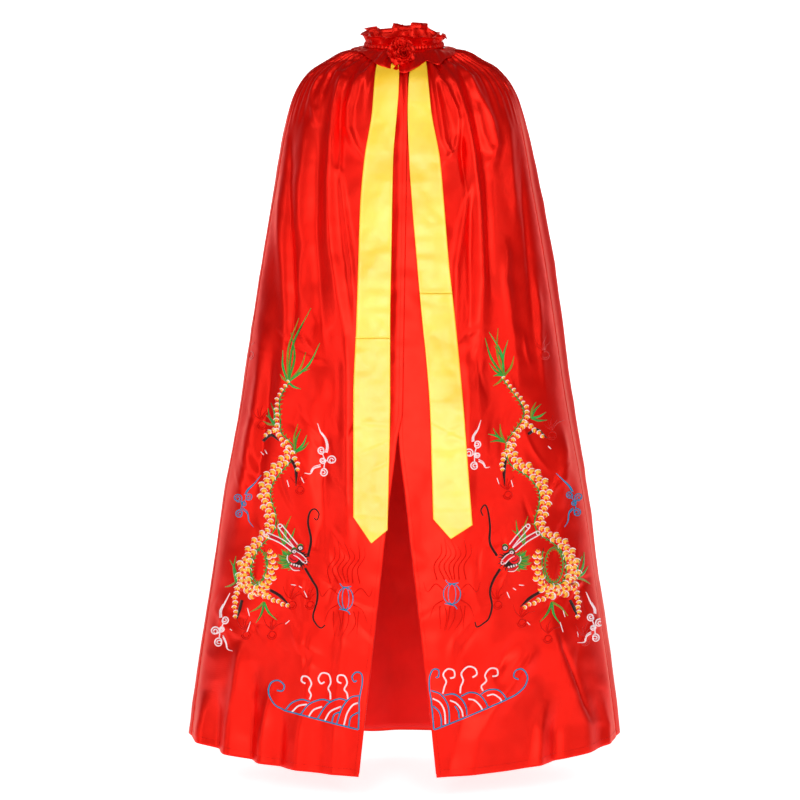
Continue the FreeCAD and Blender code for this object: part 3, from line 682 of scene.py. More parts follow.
def rim_height(th):
    x, c = 80 * np.sin(th), -np.cos(th)
    row = np.interp(x, RIM[:, 0], RIM[:, 1])
    z = (ROW0 - row) * PX * (1 + 0.077 * c / CAM_D) + CAM_Z
    behind = (z - 0.077 * c * math.sin(TILT)) / math.cos(TILT)
    ahead = 0.0235 + 0.0018 * ring_noise(th, 77, 11)
    return ahead + (behind - ahead) * smooth(c, -0.25, 0.2)


def ruffle_sheet(name, seed, lobes, base_r, top_r, height, amp, nu=900, nv=30, lean=0.0, full=1.0):
    th = np.linspace(0, 2 * math.pi, nu, endpoint=False)[None, :]
    v = np.linspace(0, 1, nv)[:, None]
    ph = lobes * th + 1.3 * ring_noise(th, seed, 6)
    s1 = np.sin(ph)
    wave = np.tanh(1.7 * s1) / math.tanh(1.7) * (0.85 + 0.25 * ring_noise(th, seed + 1, 9)) + 0.03 * ring_noise(th, seed + 4, 40)
    tang = 0.85 * np.sin(2 * ph + 0.3)
    grow = v ** 0.75
    front = np.exp(-(np.mod(th + math.pi, 2 * math.pi) - math.pi) ** 2 / 0.7)
    top = rim_height(th) * height
    r = base_r + (top_r - base_r) * v ** 1.2 + amp * wave * grow + lean * front * v
    r = r + 0.0022 * smooth(v, 0.72, 1.0) * (1 + 0.6 * wave)      # the rim rolls outwards
    h = 0.0045 + (top - 0.0045) * v - 0.0022 * smooth(v, 0.80, 1.0) * (1 + wave) * 0.8
    pleats = (0.0004 + 0.0013 * front) * np.sin(2 * ph + 2 * ring_noise(th, seed + 8, 8)) * np.sin(math.pi * v) * full
    tt = th + tang * amp / base_r * grow
    return neck_to_row(r + pleats, tt + 0 * v, h)


def thick_ring(name, P, thick, mats, uvs=None):
    du = np.roll(P, -1, 1) - np.roll(P, 1, 1)
    dv = np.gradient(P, axis=0)
    n = np.cross(dv, du)
    n /= np.linalg.norm(n, axis=-1, keepdims=True) + 1e-12
    c = P.reshape(-1, 3).mean(0)
    if (n * (P - c)).sum() < 0:
        n = -n
    return slab(name, P, thick, mats, uvs, outward=n, closed_u=True)


P = ruffle_sheet("ruffle", 11, 12, 0.0725, 0.0765, 1.0, 0.0062, lean=0.006)
ruffle_grid = P
ruffle = thick_ring("collar_ruffle_cloth", P, 0.0012, [RED_SHADED])
ruffle_area = grid_area(np.concatenate([P, P[:, :1]], 1))
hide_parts("collar_ruffle")
P2 = ruffle_sheet("ruffle2", 23, 14, 0.0680, 0.0700, 0.74, 0.0042, lean=0.003)
ruffle_in = thick_ring("collar_ruffle_inner_fold", P2, 0.0012, [RED_SHADED])

# the gathered channel itself: one strip folded round the cord
th = np.linspace(0, 2 * math.pi, 960, endpoint=False)[None, :]
k = math.pi / 2 + np.linspace(math.radians(9), math.radians(351), 26)[:, None]
pleat = np.sin(58 * th + 2.2 * ring_noise(th, 5, 9))
rr = 0.0705 + (0.0062 + 0.0006 * pleat) * np.cos(k)
hh = (0.0068 + 0.0005 * pleat) * np.sin(k)
C = neck_to_row(rr, th + 0 * k, hh)
nC = neck_to_row(rr + 0.001 * np.cos(k), th + 0 * k, hh + 0.001 * np.sin(k)) - C
nC /= np.linalg.norm(nC, axis=-1, keepdims=True)
casing = slab("neck_casing_cloth", C, 0.0010, [RED_SHADED], outward=nC, closed_u=True)
casing_grid = C
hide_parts("neck_casing")


# falling frill: follows the shoulders, scalloped edge
# lower edge of the frill over the chest: view column, row
FRILL_EDGE = np.array([(330, 44), (352, 49), (364, 55), (371, 60), (376, 66), (387, 70), (399, 74), (405, 76), (411, 73), (419, 68), (426, 62.5),
                       (431, 65), (438, 67.5), (445, 60), (456, 52), (470, 46), (485, 42)], float)


def frill_points(seed, lobes, nu=1000, nv=30):
    th = np.linspace(0, 2 * math.pi, nu, endpoint=False)
    ang = np.mod(th + math.pi, 2 * math.pi) - math.pi
    ph = lobes * th + 1.3 * ring_noise(th, seed, 7)
    wave = 0.5 + 0.5 * np.tanh(1.6 * np.sin(ph)) / math.tanh(1.6)
    fine = ring_noise(th, seed + 3, 30)
    front = np.exp(-(ang / 0.72) ** 2)
    ts = np.linspace(0.002, 0.125, 90)
    S = mean_point(th[None, :] + 0 * ts[:, None], ts[:, None] + 0 * th[None, :])
    col, row = to_view(S)
    over = row > np.interp(col, FRILL_EDGE[:, 0], FRILL_EDGE[:, 1])
    first = np.where(over.any(0), ts[np.argmax(over, 0)], 0.014)
    k = np.hanning(15)
    first = np.convolve(np.concatenate([first[-7:], first, first[:7]]), k / k.sum(), "valid")
    near = 1 - smooth(np.abs(ang), 0.85, 1.25)
    reach = np.clip(first, 0.010, 0.110) * near + (0.013 + 0.0015 * wave) * (1 - near) + 0.0006 * fine
    out = np.zeros((nv, nu, 3))
    for i, vv in enumerate(np.linspace(0, 1, nv)):
        t = 0.0015 + reach * vv
        Pm, Nm = mean_point(th, t), mean_normal(th, t)
        puff = (0.0016 + 0.0074 * front) * (0.35 + 0.65 * wave) + 0.0004 * fine
        edge = 0.0014 + 0.0062 * front + 0.0009 * (wave - 0.5)
        hump = math.sin(math.pi * vv) ** 0.7 if 0 < vv < 1 else 0.0
        lift = 0.0024 + (edge - 0.0024) * vv ** 2 + puff * hump
        lift = lift + 0.0007 * np.sin(4 * ph + 6 * vv) * hump * (0.4 + front)
        out[i] = Pm + Nm * lift[:, None]
    return out


F = frill_points(41, 15)
frill = thick_ring("collar_frill_cloth", F, 0.0012, [RED_SHADED])
frill_area = grid_area(np.concatenate([F, F[:, :1]], 1))
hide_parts("collar_frill")
for ob in (ruffle, ruffle_in, casing, frill):
    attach(ob, CLOAK)


# ------------------------------------------------------------------ ribbons
EYE = np.array(cam.location, float)


def row_point(col, row, y):
    k = PX * (1 + y / CAM_D)
    return np.stack([(col - COL0) * k, y + 0 * k, (ROW0 - row) * k + CAM_Z], -1)


def cast(side, col, row):
    target = Vector(((col - COL0) * PX, 0.0, (ROW0 - row) * PX + CAM_Z))
    o = Vector(EYE)
    d = (target - o).normalized()
    hit, normal, _, _ = bvh[side].ray_cast(o, d, 9.0)
    if hit is None:
        near, normal, _, dist = bvh[side].find_nearest(target + Vector((0, -0.2, 0)))
        return None if dist is None or near is None or dist > 0.09 else (near, normal)
    if normal.dot(d) > 0:
        normal = -normal
    return hit, normal


RIBBONS = {
    # rows, left edge, right edge; end outline; crease row
    -1: dict(rows=(58, 70, 90, 110, 160, 205, 265, 325, 400, 500, 560),
             left=(378, 375.5, 373.5, 372, 364, 360, 358, 356, 353, 353, 353),
             right=(399, 399, 398.5, 397, 393, 392, 391, 390, 390, 388, 386.5),
             end=((0.0, 517), (0.53, 543.5), (1.0, 530)), crease=343.0, word="right",
             folds=((341, 0.55, 4.0, 0.0), (423, 0.5, 3.0, 0.10), (446, 0.45, 2.4, -0.45), (470, 0.4, 2.4, -0.5), (515, 0.4, 3.0, 0.1), (205, 0.3, 6, 0.05))),
    1: dict(rows=(56, 62, 75, 90, 110, 160, 205, 265, 310, 370, 415, 470, 560),
            left=(411, 411, 409, 408, 407.5, 409, 412, 417, 421, 427, 430, 431.5, 434),
            right=(424, 426, 427.5, 429, 431, 440, 444, 449, 454, 460, 464, 468, 475),
            end=((0.0, 519), (0.43, 539), (1.0, 525)), crease=298.0, word="left",
            folds=((296, 0.55, 4.0, 0.05), (430, 0.5, 2.4, 0.5), (433, 0.45, 2.4, -0.5), (508, 0.4, 3.0, 0.0), (180, 0.3, 6, -0.1))),
}

for side, R in RIBBONS.items():
    rows = np.arange(54.0, 546.0, 2.0)
    eL = pchip(R["rows"], R["left"], rows)
    eR = pchip(R["rows"], R["right"], rows)
    base, slope = np.zeros(len(rows)), np.zeros(len(rows))
    for i, r in enumerate(rows):
        cols = np.linspace(eL[i] - 1.5, eR[i] + 1.5, 13)
        ys, cs = [], []
        for c in cols:
            h = cast(side, c, r)
            if h is not None:
                ys.append(h[0].y)
                cs.append(c)
        mid = 0.5 * (eL[i] + eR[i])
        if len(ys) > 2:
            cs, ys = np.array(cs), np.array(ys)
            s = np.polyfit(cs - mid, ys, 1)[0] if np.ptp(cs) > 4 else 0.0
            slope[i] = s
            base[i] = (ys - s * (cs - mid)).min()
        else:
            slope[i], base[i] = slope[i - 1], base[i - 1]
    kern = np.hanning(23)
    kern /= kern.sum()
    raw = [base[max(0, i - 1):i + 2].min() for i in range(len(base))]
    pad = lambda a: np.concatenate([np.full(11, a[0]), a, np.full(11, a[-1])])
    slope = np.convolve(pad(slope), kern, "valid")
    low = np.array([base[max(0, i - 6):i + 7].min() for i in range(len(base))])
    base = np.convolve(pad(low), kern, "valid")
    base = np.minimum(base, low)
    blend_s = smooth(rows, 70, 104)
    base = base * blend_s + np.array(raw) * (1 - blend_s) - 0.0022 - 0.0014 * smooth(rows, 80, 120)

    def ribbon_grid(u, rr):
        """u across 0..1, rr rows; both 2-D."""
        L, Rr = pchip(R["rows"], R["left"], rr), pchip(R["rows"], R["right"], rr)
        col = L + (Rr - L) * u
        mid = 0.5 * (L + Rr)
        y = np.interp(rr, rows, base) + np.interp(rr, rows, slope) * (col - mid)
        w = 2 * u - 1
        y = y - 0.0009 * (1 - w * w) - 0.0010 * np.sin(rr / 21.0 + 1.3 * side) * (0.6 + 0.4 * w)
        y = y - 0.0004 * np.exp(-((np.abs(w) - 0.93) / 0.05) ** 2)
        for row0, h, wd, lean in R["folds"]:
            d = (rr - row0 - lean * (col - mid)) / wd
            y = y - h / 1000 * (np.exp(-d * d) - 0.7 * np.exp(-((d - 1.7) ** 2)))
        y = y - smooth(rr, 80, 120) * (0.0006 * value_noise(col, rr, 31 + side, 9) + 0.0012 * value_noise(col + 0.5 * rr, rr, 37 + side, 24))
        return row_point(col, rr, y)

    split = R["crease"] - 5.0
    nu = 29
    u = np.linspace(0, 1, nu)[None, :]
    top = 63.0 if side < 0 else 58.0
    rr = np.linspace(top, split, 150)[:, None] + 0 * u
    U = u + 0 * rr
    P = ribbon_grid(U, rr)
    uvr = np.stack([U * 0.06, (rr - top) * PX], -1)
    n = grid_normals(P)
    n = n * np.where((n[..., 1:2]) > 0, -1, 1)
    up = slab(R["word"] + "_ribbon_upper_cloth", P, 0.0011, [YELLOW], uvr, outward=n)
    up_grid = P
    upper_area = grid_area(P)
    endr = np.interp(U[0], [e[0] for e in R["end"]], [e[1] for e in R["end"]])
    vv = np.linspace(0, 1, 150)[:, None]
    rr = split + (endr[None, :] - split) * vv
    U = u + 0 * rr
    P = ribbon_grid(U, rr)
    n = grid_normals(P)
    n = n * np.where((n[..., 1:2]) > 0, -1, 1)
    tail = slab(R["word"] + "_ribbon_tail_cloth", P, 0.0011, [YELLOW], np.stack([U * 0.06, (rr - top) * PX], -1), outward=n)
    tail_area = grid_area(P)
    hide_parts(R["word"] + "_tie_ribbon")
    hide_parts(R["word"] + "_tie_ribbon_tail")
    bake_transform(up)
    cz = float(ribbon_grid(np.array([[0.5]]), np.array([[R["crease"]]]))[0, 0, 2])
    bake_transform(tail)
    R["areas"] = (upper_area, tail_area)
    R["pieces"] = (up, tail)
    R["grids"] = (up_grid, P)

# ------------------------------------------------------------------ rosette
ROSE_C = np.array([-0.0047, -0.1155, -0.0350])
rt = math.radians(20)
RD = np.array([0, -math.cos(rt), math.sin(rt)])
RU = np.array([0, math.sin(rt), math.cos(rt)])
RX = np.array([1.0, 0, 0])


def to_rose(x, y, h):
    return ROSE_C + np.asarray(x)[..., None] * RX + np.asarray(y)[..., None] * RU + np.asarray(h)[..., None] * RD


def merge_slabs(name, grids, thick, mat):
    verts, faces = [], []
    area_sum = 0.0
    for P in grids:
        n = grid_normals(P)
        Q = P - n * thick
        nv, nu = P.shape[:2]
        o = len(verts)
        verts += [tuple(p) for p in P.reshape(-1, 3)] + [tuple(p) for p in Q.reshape(-1, 3)]
        m = nv * nu
        idx = np.arange(m).reshape(nv, nu)
        for i in range(nv - 1):
            for j in range(nu - 1):
                a, b, c, d = idx[i, j], idx[i, j + 1], idx[i + 1, j + 1], idx[i + 1, j]
                faces.append((o + d, o + c, o + b, o + a))
                faces.append((o + m + a, o + m + b, o + m + c, o + m + d))
        ring = list(idx[0]) + list(idx[1:, -1]) + list(idx[-1, ::-1][1:]) + list(idx[::-1, 0][1:-1])
        for k in range(len(ring)):
            a, b = ring[k], ring[(k + 1) % len(ring)]
            faces.append((o + a, o + b, o + m + b, o + m + a))
        area_sum += grid_area(P)
    ob = new_object(name, verts, faces, [mat])
    return ob, area_sum


def petal(alpha, r0, r1, wide, h0, h1, cup, curl, seed, nv=16, nu=19, c=(0.0, 0.0), squash=1.05):
    v = np.linspace(0, 1, nv)[:, None]
    q = np.linspace(-1, 1, nu)[None, :]
    rs = np.random.RandomState(seed)
    shape = np.sin(math.pi * (0.16 + 0.62 * v)) * (1 - 0.25 * v ** 4)
    r = r0 + (r1 - r0) * v - 0.14 * (r1 - r0) * q * q * v + 0.0010 * np.sin(q * 4 + rs.uniform(0, 6)) * v * v
    lat = wide * shape * q
    h = h0 + (h1 - h0) * v ** 1.4 + cup * q * q * (0.4 + 0.6 * v) - curl * np.clip(v - 0.62, 0, 1) ** 2 * 9
    h = h + 0.0013 * np.sin(q * 5 + rs.uniform(0, 6)) * v + 0.0011 * np.sin(v * 7 + q * 3 + rs.uniform(0, 6))
    ca, sa = math.cos(alpha), math.sin(alpha)
    return to_rose(c[0] + r * ca - lat * sa, c[1] + (r * sa + lat * ca) * squash, h)


LOW = (0.0035, -0.0085)      # middle of the lower, spiral lobe
TOP = (-0.0030, 0.0090)      # middle of the upper lobe
grids = []
for i in range(7):
    a = 2 * math.pi * i / 7 + 0.45 + 0.12 * math.sin(5.1 * i)
    grids.append(petal(a, 0.006, 0.0275 + 0.0030 * math.sin(3.1 * i), 0.0150 + 0.002 * math.cos(1.7 * i), 0.0028, 0.0056 + 0.0024 * math.cos(2 * i), 0.0034, 0.0052, 100 + i))
for i in range(4):           # the upper lobe's loose folds
    a = math.radians(20 + 46 * i) + 0.1 * math.sin(4 * i)
    grids.append(petal(a, 0.003, 0.0160 + 0.0022 * math.cos(2.3 * i), 0.0118, 0.0068, 0.0118 + 0.0016 * math.sin(4 * i), 0.0050, 0.0042, 130 + i, c=TOP))
rose_out, rose_out_area = merge_slabs("rosette_outer_petals_cloth", grids, 0.0008, RED_SHADED)
grids = []
for i in range(5):
    a = 2 * math.pi * i / 5 + 0.35
    grids.append(petal(a, 0.0050, 0.0138 + 0.0016 * math.sin(5 * i), 0.0094, 0.0090, 0.0150 + 0.001 * math.cos(3 * i), 0.0046, 0.0030, 160 + i, c=LOW))
for i in range(4):
    a = math.radians(-10 + 62 * i)
    grids.append(petal(a, 0.0015, 0.0098 + 0.001 * math.sin(3 * i), 0.0078, 0.0115, 0.0180, 0.0050, 0.0022, 190 + i, c=TOP))
rose_in, rose_in_area = merge_slabs("rosette_inner_petals_cloth", grids, 0.0008, RED_SHADED)
tau = np.linspace(0, 1, 120)[None, :]
v = np.linspace(0, 1, 9)[:, None]
ang = 2 * math.pi * 2.2 * tau + 0.4
rad = 0.0016 + 0.0078 * tau ** 0.9 + 0.0012 * (v - 0.5) + 0.0006 * np.sin(3 * ang)
core_grid = to_rose(LOW[0] + rad * np.cos(ang), LOW[1] + rad * np.sin(ang) * 1.1, 0.006 + v * (0.0135 - 0.0035 * tau) + 0.0009 * np.sin(1.9 * ang))
tau2 = np.linspace(0, 1, 60)[None, :]
ang2 = 2 * math.pi * 1.15 * tau2 + 2.2
rad2 = 0.0014 + 0.0052 * tau2 + 0.0010 * (v - 0.5)
core_grid2 = to_rose(TOP[0] + rad2 * np.cos(ang2) * 1.3, TOP[1] - 0.001 + rad2 * np.sin(ang2), 0.008 + v * (0.0115 - 0.004 * tau2))
rose_core, rose_core_area = merge_slabs("rosette_core_cloth", [core_grid, core_grid2], 0.0007, RED_SHADED)
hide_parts("rosette_outer_petals")
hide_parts("rosette_inner_petals")
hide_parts("rosette_core")
# the gathered foot that holds the rosette on the collar
th = np.linspace(0, 2 * math.pi, 144, endpoint=False)[None, :]
sv = np.linspace(0, 1, 22)[:, None]
foot_r = np.interp(sv, [0, 0.25, 0.6, 1.0], [0.0150, 0.0100, 0.0085, 0.0110]) * (1 + (0.05 + 0.05 * sv) * np.sin(12 * th + 1.2 * ring_noise(th, 91, 5)))
foot_grid = to_rose(0.5 * (LOW[0] + TOP[0]) + foot_r * np.cos(th), 0.5 * (LOW[1] + TOP[1]) - 0.003 * sv + 1.15 * foot_r * np.sin(th), 0.0045 - 0.0215 * sv)
rose_foot = thick_ring("rosette_foot_cloth", foot_grid, 0.0008, [RED_SHADED])
for ob in (rose_out, rose_in, rose_core, rose_foot):
    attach(ob, CLOAK)


def tube(name, path, radius, mats, closed=False, segs=10, twist=0.0):
    path = np.asarray(path, float)
    n = len(path)
    tang = (np.roll(path, -1, 0) - np.roll(path, 1, 0)) if closed else np.gradient(path, axis=0)
    tang /= np.linalg.norm(tang, axis=1, keepdims=True) + 1e-12
    ref = np.array([0.0, 0.0, 1.0])
    verts, faces = [], []
    side0 = np.cross(tang[0], ref)
    if np.linalg.norm(side0) < 1e-3:
        side0 = np.cross(tang[0], [1, 0, 0])
    prev = side0 / np.linalg.norm(side0)
    for i in range(n):
        prev = prev - tang[i] * prev.dot(tang[i])
        prev /= np.linalg.norm(prev) + 1e-12
        up = np.cross(tang[i], prev)
        for k in range(segs):
            a = 2 * math.pi * k / segs + twist * i
            verts.append(path[i] + radius * (math.cos(a) * prev + math.sin(a) * up))
    for i in range(n if closed else n - 1):
        i2 = (i + 1) % n
        for k in range(segs):
            k2 = (k + 1) % segs
            faces.append((i * segs + k, i * segs + k2, i2 * segs + k2, i2 * segs + k))
    if not closed:
        faces.append(tuple(range(segs))[::-1])
        faces.append(tuple((n - 1) * segs + k for k in range(segs)))
    return new_object(name, verts, faces, mats)


def cord_material():
    m, nt, b = nodes_of("braided_cord")
    tc, noise, ramp = mixed_colour(nt, b, (0.34, 0.0, 0.0), (0.52, 0.003, 0.002), 220.0)
    w1 = add(nt, "ShaderNodeTexWave", Scale=170.0, Distortion=0.3)
    w1.bands_direction = "DIAGONAL"
    nt.links.new(tc.outputs["Object"], w1.inputs["Vector"])
    bump = add(nt, "ShaderNodeBump", Strength=0.7, Distance=0.0006)
    nt.links.new(w1.outputs["Fac"], bump.inputs["Height"])
    nt.links.new(bump.outputs["Normal"], b.inputs["Normal"])
    b.inputs["Roughness"].default_value = 0.6
    b.inputs["Sheen Weight"].default_value = 0.3
    return m


CORD = cord_material()
cord_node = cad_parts["neck_drawcord"]
if len(cord_node.material_slots) == 0:
    cord_node.data.materials.append(CORD)
for s in cord_node.material_slots:
    s.material = CORD
tk = np.linspace(0, 2 * math.pi, 120, endpoint=False)
kx = 0.0022 * (np.sin(tk) + 2 * np.sin(2 * tk))
ky = 0.0016 * (np.cos(tk) - 2 * np.cos(2 * tk))
kz = 0.0018 * -np.sin(3 * tk)
kc = neck_to_row(np.array([0.0700]), np.array([0.0]), np.array([0.0]))[0]
knot_path = kc + np.stack([kx, ky, kz], -1)
knot = tube("drawcord_knot_cord", knot_path, 0.0014, [CORD], closed=True)
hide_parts("drawcord_knot")
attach(knot, CLOAK)

# ------------------------------------------------------------------ embroidery
ACC = {}


def spline(pts, step=1.5, closed=False):
    p = np.array(pts, float)
    if len(p) < 3 and not closed:
        n = max(2, int(np.linalg.norm(p[-1] - p[0]) / step) + 1)
        return p[0] + (p[-1] - p[0]) * np.linspace(0, 1, n)[:, None]
    if closed:
        q = np.concatenate([p[-1:], p, p[:2]])
    else:
        q = np.concatenate([2 * p[:1] - p[1:2], p, 2 * p[-1:] - p[-2:-1]])
    out = []
    for i in range(1, len(q) - 2):
        a, b, c, d = q[i - 1], q[i], q[i + 1], q[i + 2]
        n = max(2, int(math.ceil(np.linalg.norm(c - b) / step)))
        t = np.linspace(0, 1, n, endpoint=False)[:, None]
        out.append(0.5 * ((2 * b) + (c - a) * t + (2 * a - 5 * b + 4 * c - d) * t**2 + (3 * b - a - 3 * c + d) * t**3))
    if not closed:
        out.append(p[-1:])
    return np.concatenate(out)


def bucket(side, key):
    return ACC.setdefault((side, key), dict(v=[], f=[], uv=[]))


ACROSS = (-1.0, -0.55, 0.0, 0.55, 1.0)
RISE = (-0.35, 0.78, 1.0, 0.78, -0.35)


def stroke(side, key, pts, width=1.6, height=0.7, closed=False, step=1.5, lift=0.0):
    c = spline(pts, step, closed)
    n = len(c)
    if n < 2:
        return
    tang = (np.roll(c, -1, 0) - np.roll(c, 1, 0)) if closed else np.gradient(c, axis=0)
    tang /= np.linalg.norm(tang, axis=1, keepdims=True) + 1e-9
    perp = np.stack([-tang[:, 1], tang[:, 0]], -1)
    s = np.concatenate([[0], np.cumsum(np.linalg.norm(np.diff(c, axis=0), axis=1))])
    w = np.interp(s / s[-1], np.linspace(0, 1, len(width)), width) if hasattr(width, "__len__") else np.full(n, float(width))
    w = w * 1.32
    A = bucket(side, key)
    base = len(A["v"])
    rows = 0
    for i in range(n):
        hits = [cast(side, *(c[i] + perp[i] * w[i] * 0.5 * a)) for a in ACROSS]
        if any(h is None for h in hits):
            continue
        N = sum((h[1] for h in hits), Vector()).normalized()
        for j, (h, a) in enumerate(zip(hits, ACROSS)):
            rise = RISE[j] if RISE[j] > 0 else -0.35 / max(height, 0.3)
            A["v"].append(tuple(h[0] + N * ((rise * height + (lift if RISE[j] > 0 else 0)) / 1000.0)))
            A["uv"].append((s[i] * PX, 0.5 * a * w[i] * PX))
        rows += 1
    m = 5
    for i in range(rows - 1 if not closed else rows):
        i2 = (i + 1) % rows
        for j in range(m):
            j2 = (j + 1) % m
            A["f"].append((base + i * m + j, base + i2 * m + j, base + i2 * m + j2, base + i * m + j2))
    if not closed and rows > 1:
        A["f"].append(tuple(base + j for j in range(m)))
        A["f"].append(tuple(base + (rows - 1) * m + j for j in range(m))[::-1])


def patch(side, key, centre, rx, ry, angle=0.0, height=0.8, lift=0.0, rings=3, segs=12, inner=0.0):
    """A small domed area of satin stitch."""
    A = bucket(side, key)
    base = len(A["v"])
    ca, sa = math.cos(angle), math.sin(angle)
    mid = cast(side, *centre)
    if mid is None:
        return
    N = mid[1]
    A["v"].append(tuple(mid[0] + N * ((height + lift) / 1000.0)))
    A["uv"].append((centre[0] * PX, centre[1] * PX))
    for k in range(1, rings + 1):
        f = k / rings
        for j in range(segs):
            a = 2 * math.pi * j / segs
            x, y = rx * f * math.cos(a), ry * f * math.sin(a)
            q = (centre[0] + x * ca - y * sa, centre[1] + x * sa + y * ca)
            h = cast(side, *q) or mid
            up = (height * (1 - f * f) ** 0.5 + lift) if k < rings else -0.35
            A["v"].append(tuple(h[0] + N * (up / 1000.0)))
            A["uv"].append((q[0] * PX, q[1] * PX))
    for j in range(segs):
        A["f"].append((base, base + 1 + j, base + 1 + (j + 1) % segs))
    for k in range(rings - 1):
        for j in range(segs):
            a, b = base + 1 + k * segs + j, base + 1 + k * segs + (j + 1) % segs
            A["f"].append((a, a + segs, b + segs, b))
    last = base + 1 + (rings - 1) * segs
    A["f"].append(tuple(last + j for j in range(segs))[::-1])


def ring(side, key, centre, r, width=1.2, height=0.7, turns=1.0, start=0.0, squash=1.0, grow=0.0):
    n = max(8, int(12 * turns))
    pts = []
    for i in range(n + (0 if turns == 1.0 and grow == 0 else 1)):
        a = start + 2 * math.pi * turns * i / n
        rr = r * (1 + grow * i / n)
        pts.append((centre[0] + rr * math.cos(a), centre[1] + rr * math.sin(a) * squash))
    stroke(side, key, pts, width, height, closed=(turns == 1.0 and grow == 0), step=1.2)


def along(pts, spacing):
    c = spline(pts, 0.5)
    s = np.concatenate([[0], np.cumsum(np.linalg.norm(np.diff(c, axis=0), axis=1))])
    n = max(2, int(s[-1] / spacing))
    out = []
    for k in range(n + 1):
        q = s[-1] * k / n
        x, y = np.interp(q, s, c[:, 0]), np.interp(q, s, c[:, 1])
        x2, y2 = np.interp(min(q + 1, s[-1]), s, c[:, 0]), np.interp(min(q + 1, s[-1]), s, c[:, 1])
        x1, y1 = np.interp(max(q - 1, 0), s, c[:, 0]), np.interp(max(q - 1, 0), s, c[:, 1])
        out.append((x, y, math.atan2(y2 - y1, x2 - x1), k / n))
    return out


def scaly(side, pts, widths, spacing=4.6, spines=0, key_base="coral"):
    """A limb or body of overlapping scales, with a dorsal line along one side."""
    w_at = lambda f: float(np.interp(f, np.linspace(0, 1, len(widths)), widths))
    stroke(side, key_base, pts, [w * 0.74 for w in widths], 0.45, step=2.0)
    dorsal = []
    for k, (x, y, a, f) in enumerate(along(pts, spacing)):
        w = w_at(f)
        nx, ny = -math.sin(a), math.cos(a)
        wide = w > 7
        offs = ((-0.30, 0.30) if k % 2 else (0.0,)) if wide else ((-0.10 if k % 2 else 0.10),)
        if wide and w > 11.5:
            offs = (-0.36, 0.05) if k % 2 else (-0.05, 0.36)
        for o in offs:
            cx, cy = x + nx * o * w, y + ny * o * w
            r = max(1.8, w * (0.30 if wide else 0.42))
            patch(side, "yellow", (cx, cy), r * 1.05, r * 0.95, a, 0.8, 0.3)
            patch(side, "coral", (cx + math.cos(a) * 0.52 * r, cy + math.sin(a) * 0.52 * r), r * 0.66, r * 0.66, a, 0.5, 1.05, rings=2, segs=9)
            arc = []
            for q in np.linspace(-1.45, 1.45, 8):
                arc.append((cx - r * 1.06 * math.cos(a + q), cy - r * 0.98 * math.sin(a + q)))
            stroke(side, "cream", arc, (0.4, 0.8, 0.95, 0.8, 0.4), 1.0, step=1.2, lift=0.3)
        if spines:
            dorsal.append((x + nx * spines * w * 0.56, y + ny * spines * w * 0.56, nx * spines, ny * spines, a, w))
    if dorsal:
        stroke(side, "green", [d[:2] for d in dorsal], 1.15, 0.8, step=1.6)
        for k, (x, y, nx, ny, a, w) in enumerate(dorsal[1:]):
            L = 2.2 + 1.2 * math.sin(2.7 * k) ** 2
            stroke(side, "green" if k % 3 else "mint", [(x, y), (x + nx * L - math.cos(a) * 1.5, y + ny * L - math.sin(a) * 1.5)], (1.2, 0.35), 0.6, step=1.0)
            if k % 2:
                stroke(side, "dark", [(x + nx * 0.6, y + ny * 0.6), (x + nx * 0.8 + math.cos(a) * 3.2, y + ny * 0.8 + math.sin(a) * 3.2)], (0.7, 0.35), 0.6, step=1.0)


def tuft(side, base, tips, keys=("green", "mint", "olive"), width=2.0):
    for i, tip in enumerate(tips):
        b, t = np.array(base, float), np.array(tip, float)
        d = t - b
        nrm = np.array([-d[1], d[0]]) * (0.10 if i % 2 else -0.08)
        stroke(side, keys[i % len(keys)], [b, b + d * 0.5 + nrm, t], (width, width * 1.05, 0.4), 0.8, step=2.0)
        if i % 2 == 0:
            stroke(side, "dark", [b + 0.6, b + d * 0.45 + nrm + 0.7, b + d * 0.8 + nrm * 0.4], (0.6, 0.7, 0.3), 0.5, step=2.0)


def spiral(side, key, cx, cy, r, start, turn, width=1.0, turns=1.55):
    """A curl that begins at angle start on its outside and winds in."""
    pts = []
    for i in range(int(11 * turns) + 1):
        q = i / (11 * turns)
        a = start + turn * 2 * math.pi * turns * q
        rr = r * (1 - 0.78 * q)
        pts.append((cx + rr * math.cos(a), cy + rr * math.sin(a)))
    stroke(side, key, pts, (width, width, width * 0.9, width * 0.8), 0.8, step=1.0)


def cloud(side, key, tip, curls, tail, width=1.25, flip=1):
    """A cloud scroll: a drawn-out tip, linked curls and a tail."""
    stroke(side, key, tip, (0.5, width * 1.1, width * 1.3, width), 0.8)
    off = [(x + 1.4 * flip, y + 0.4) for x, y in tip[1:]]
    stroke(side, key, off, (0.4, width * 0.8, width * 0.8), 0.7)
    mx = sum(c[0] for c in curls) / len(curls)
    my = sum(c[1] for c in curls) / len(curls)
    for cx, cy, r in curls:
        a = math.atan2(my - cy, mx - cx)
        spiral(side, key, cx, cy, r, a, flip, width)
        spiral(side, key, cx, cy, r * 1.0, a, -flip, width * 0.9, turns=0.42)
        stroke(side, key, [(mx, my), (cx + r * math.cos(a), cy + r * math.sin(a))], width * 0.8, 0.7)
    stroke(side, key, tail, (width, width * 1.2, 0.5), 0.8)
    stroke(side, key, [(x, y - 1.7) for x, y in tail[:-1]], (width * 0.8, 0.5), 0.7)


def claw(side, pts):
    stroke(side, "dark", pts, (2.6, 3.0, 0.6), 0.9)


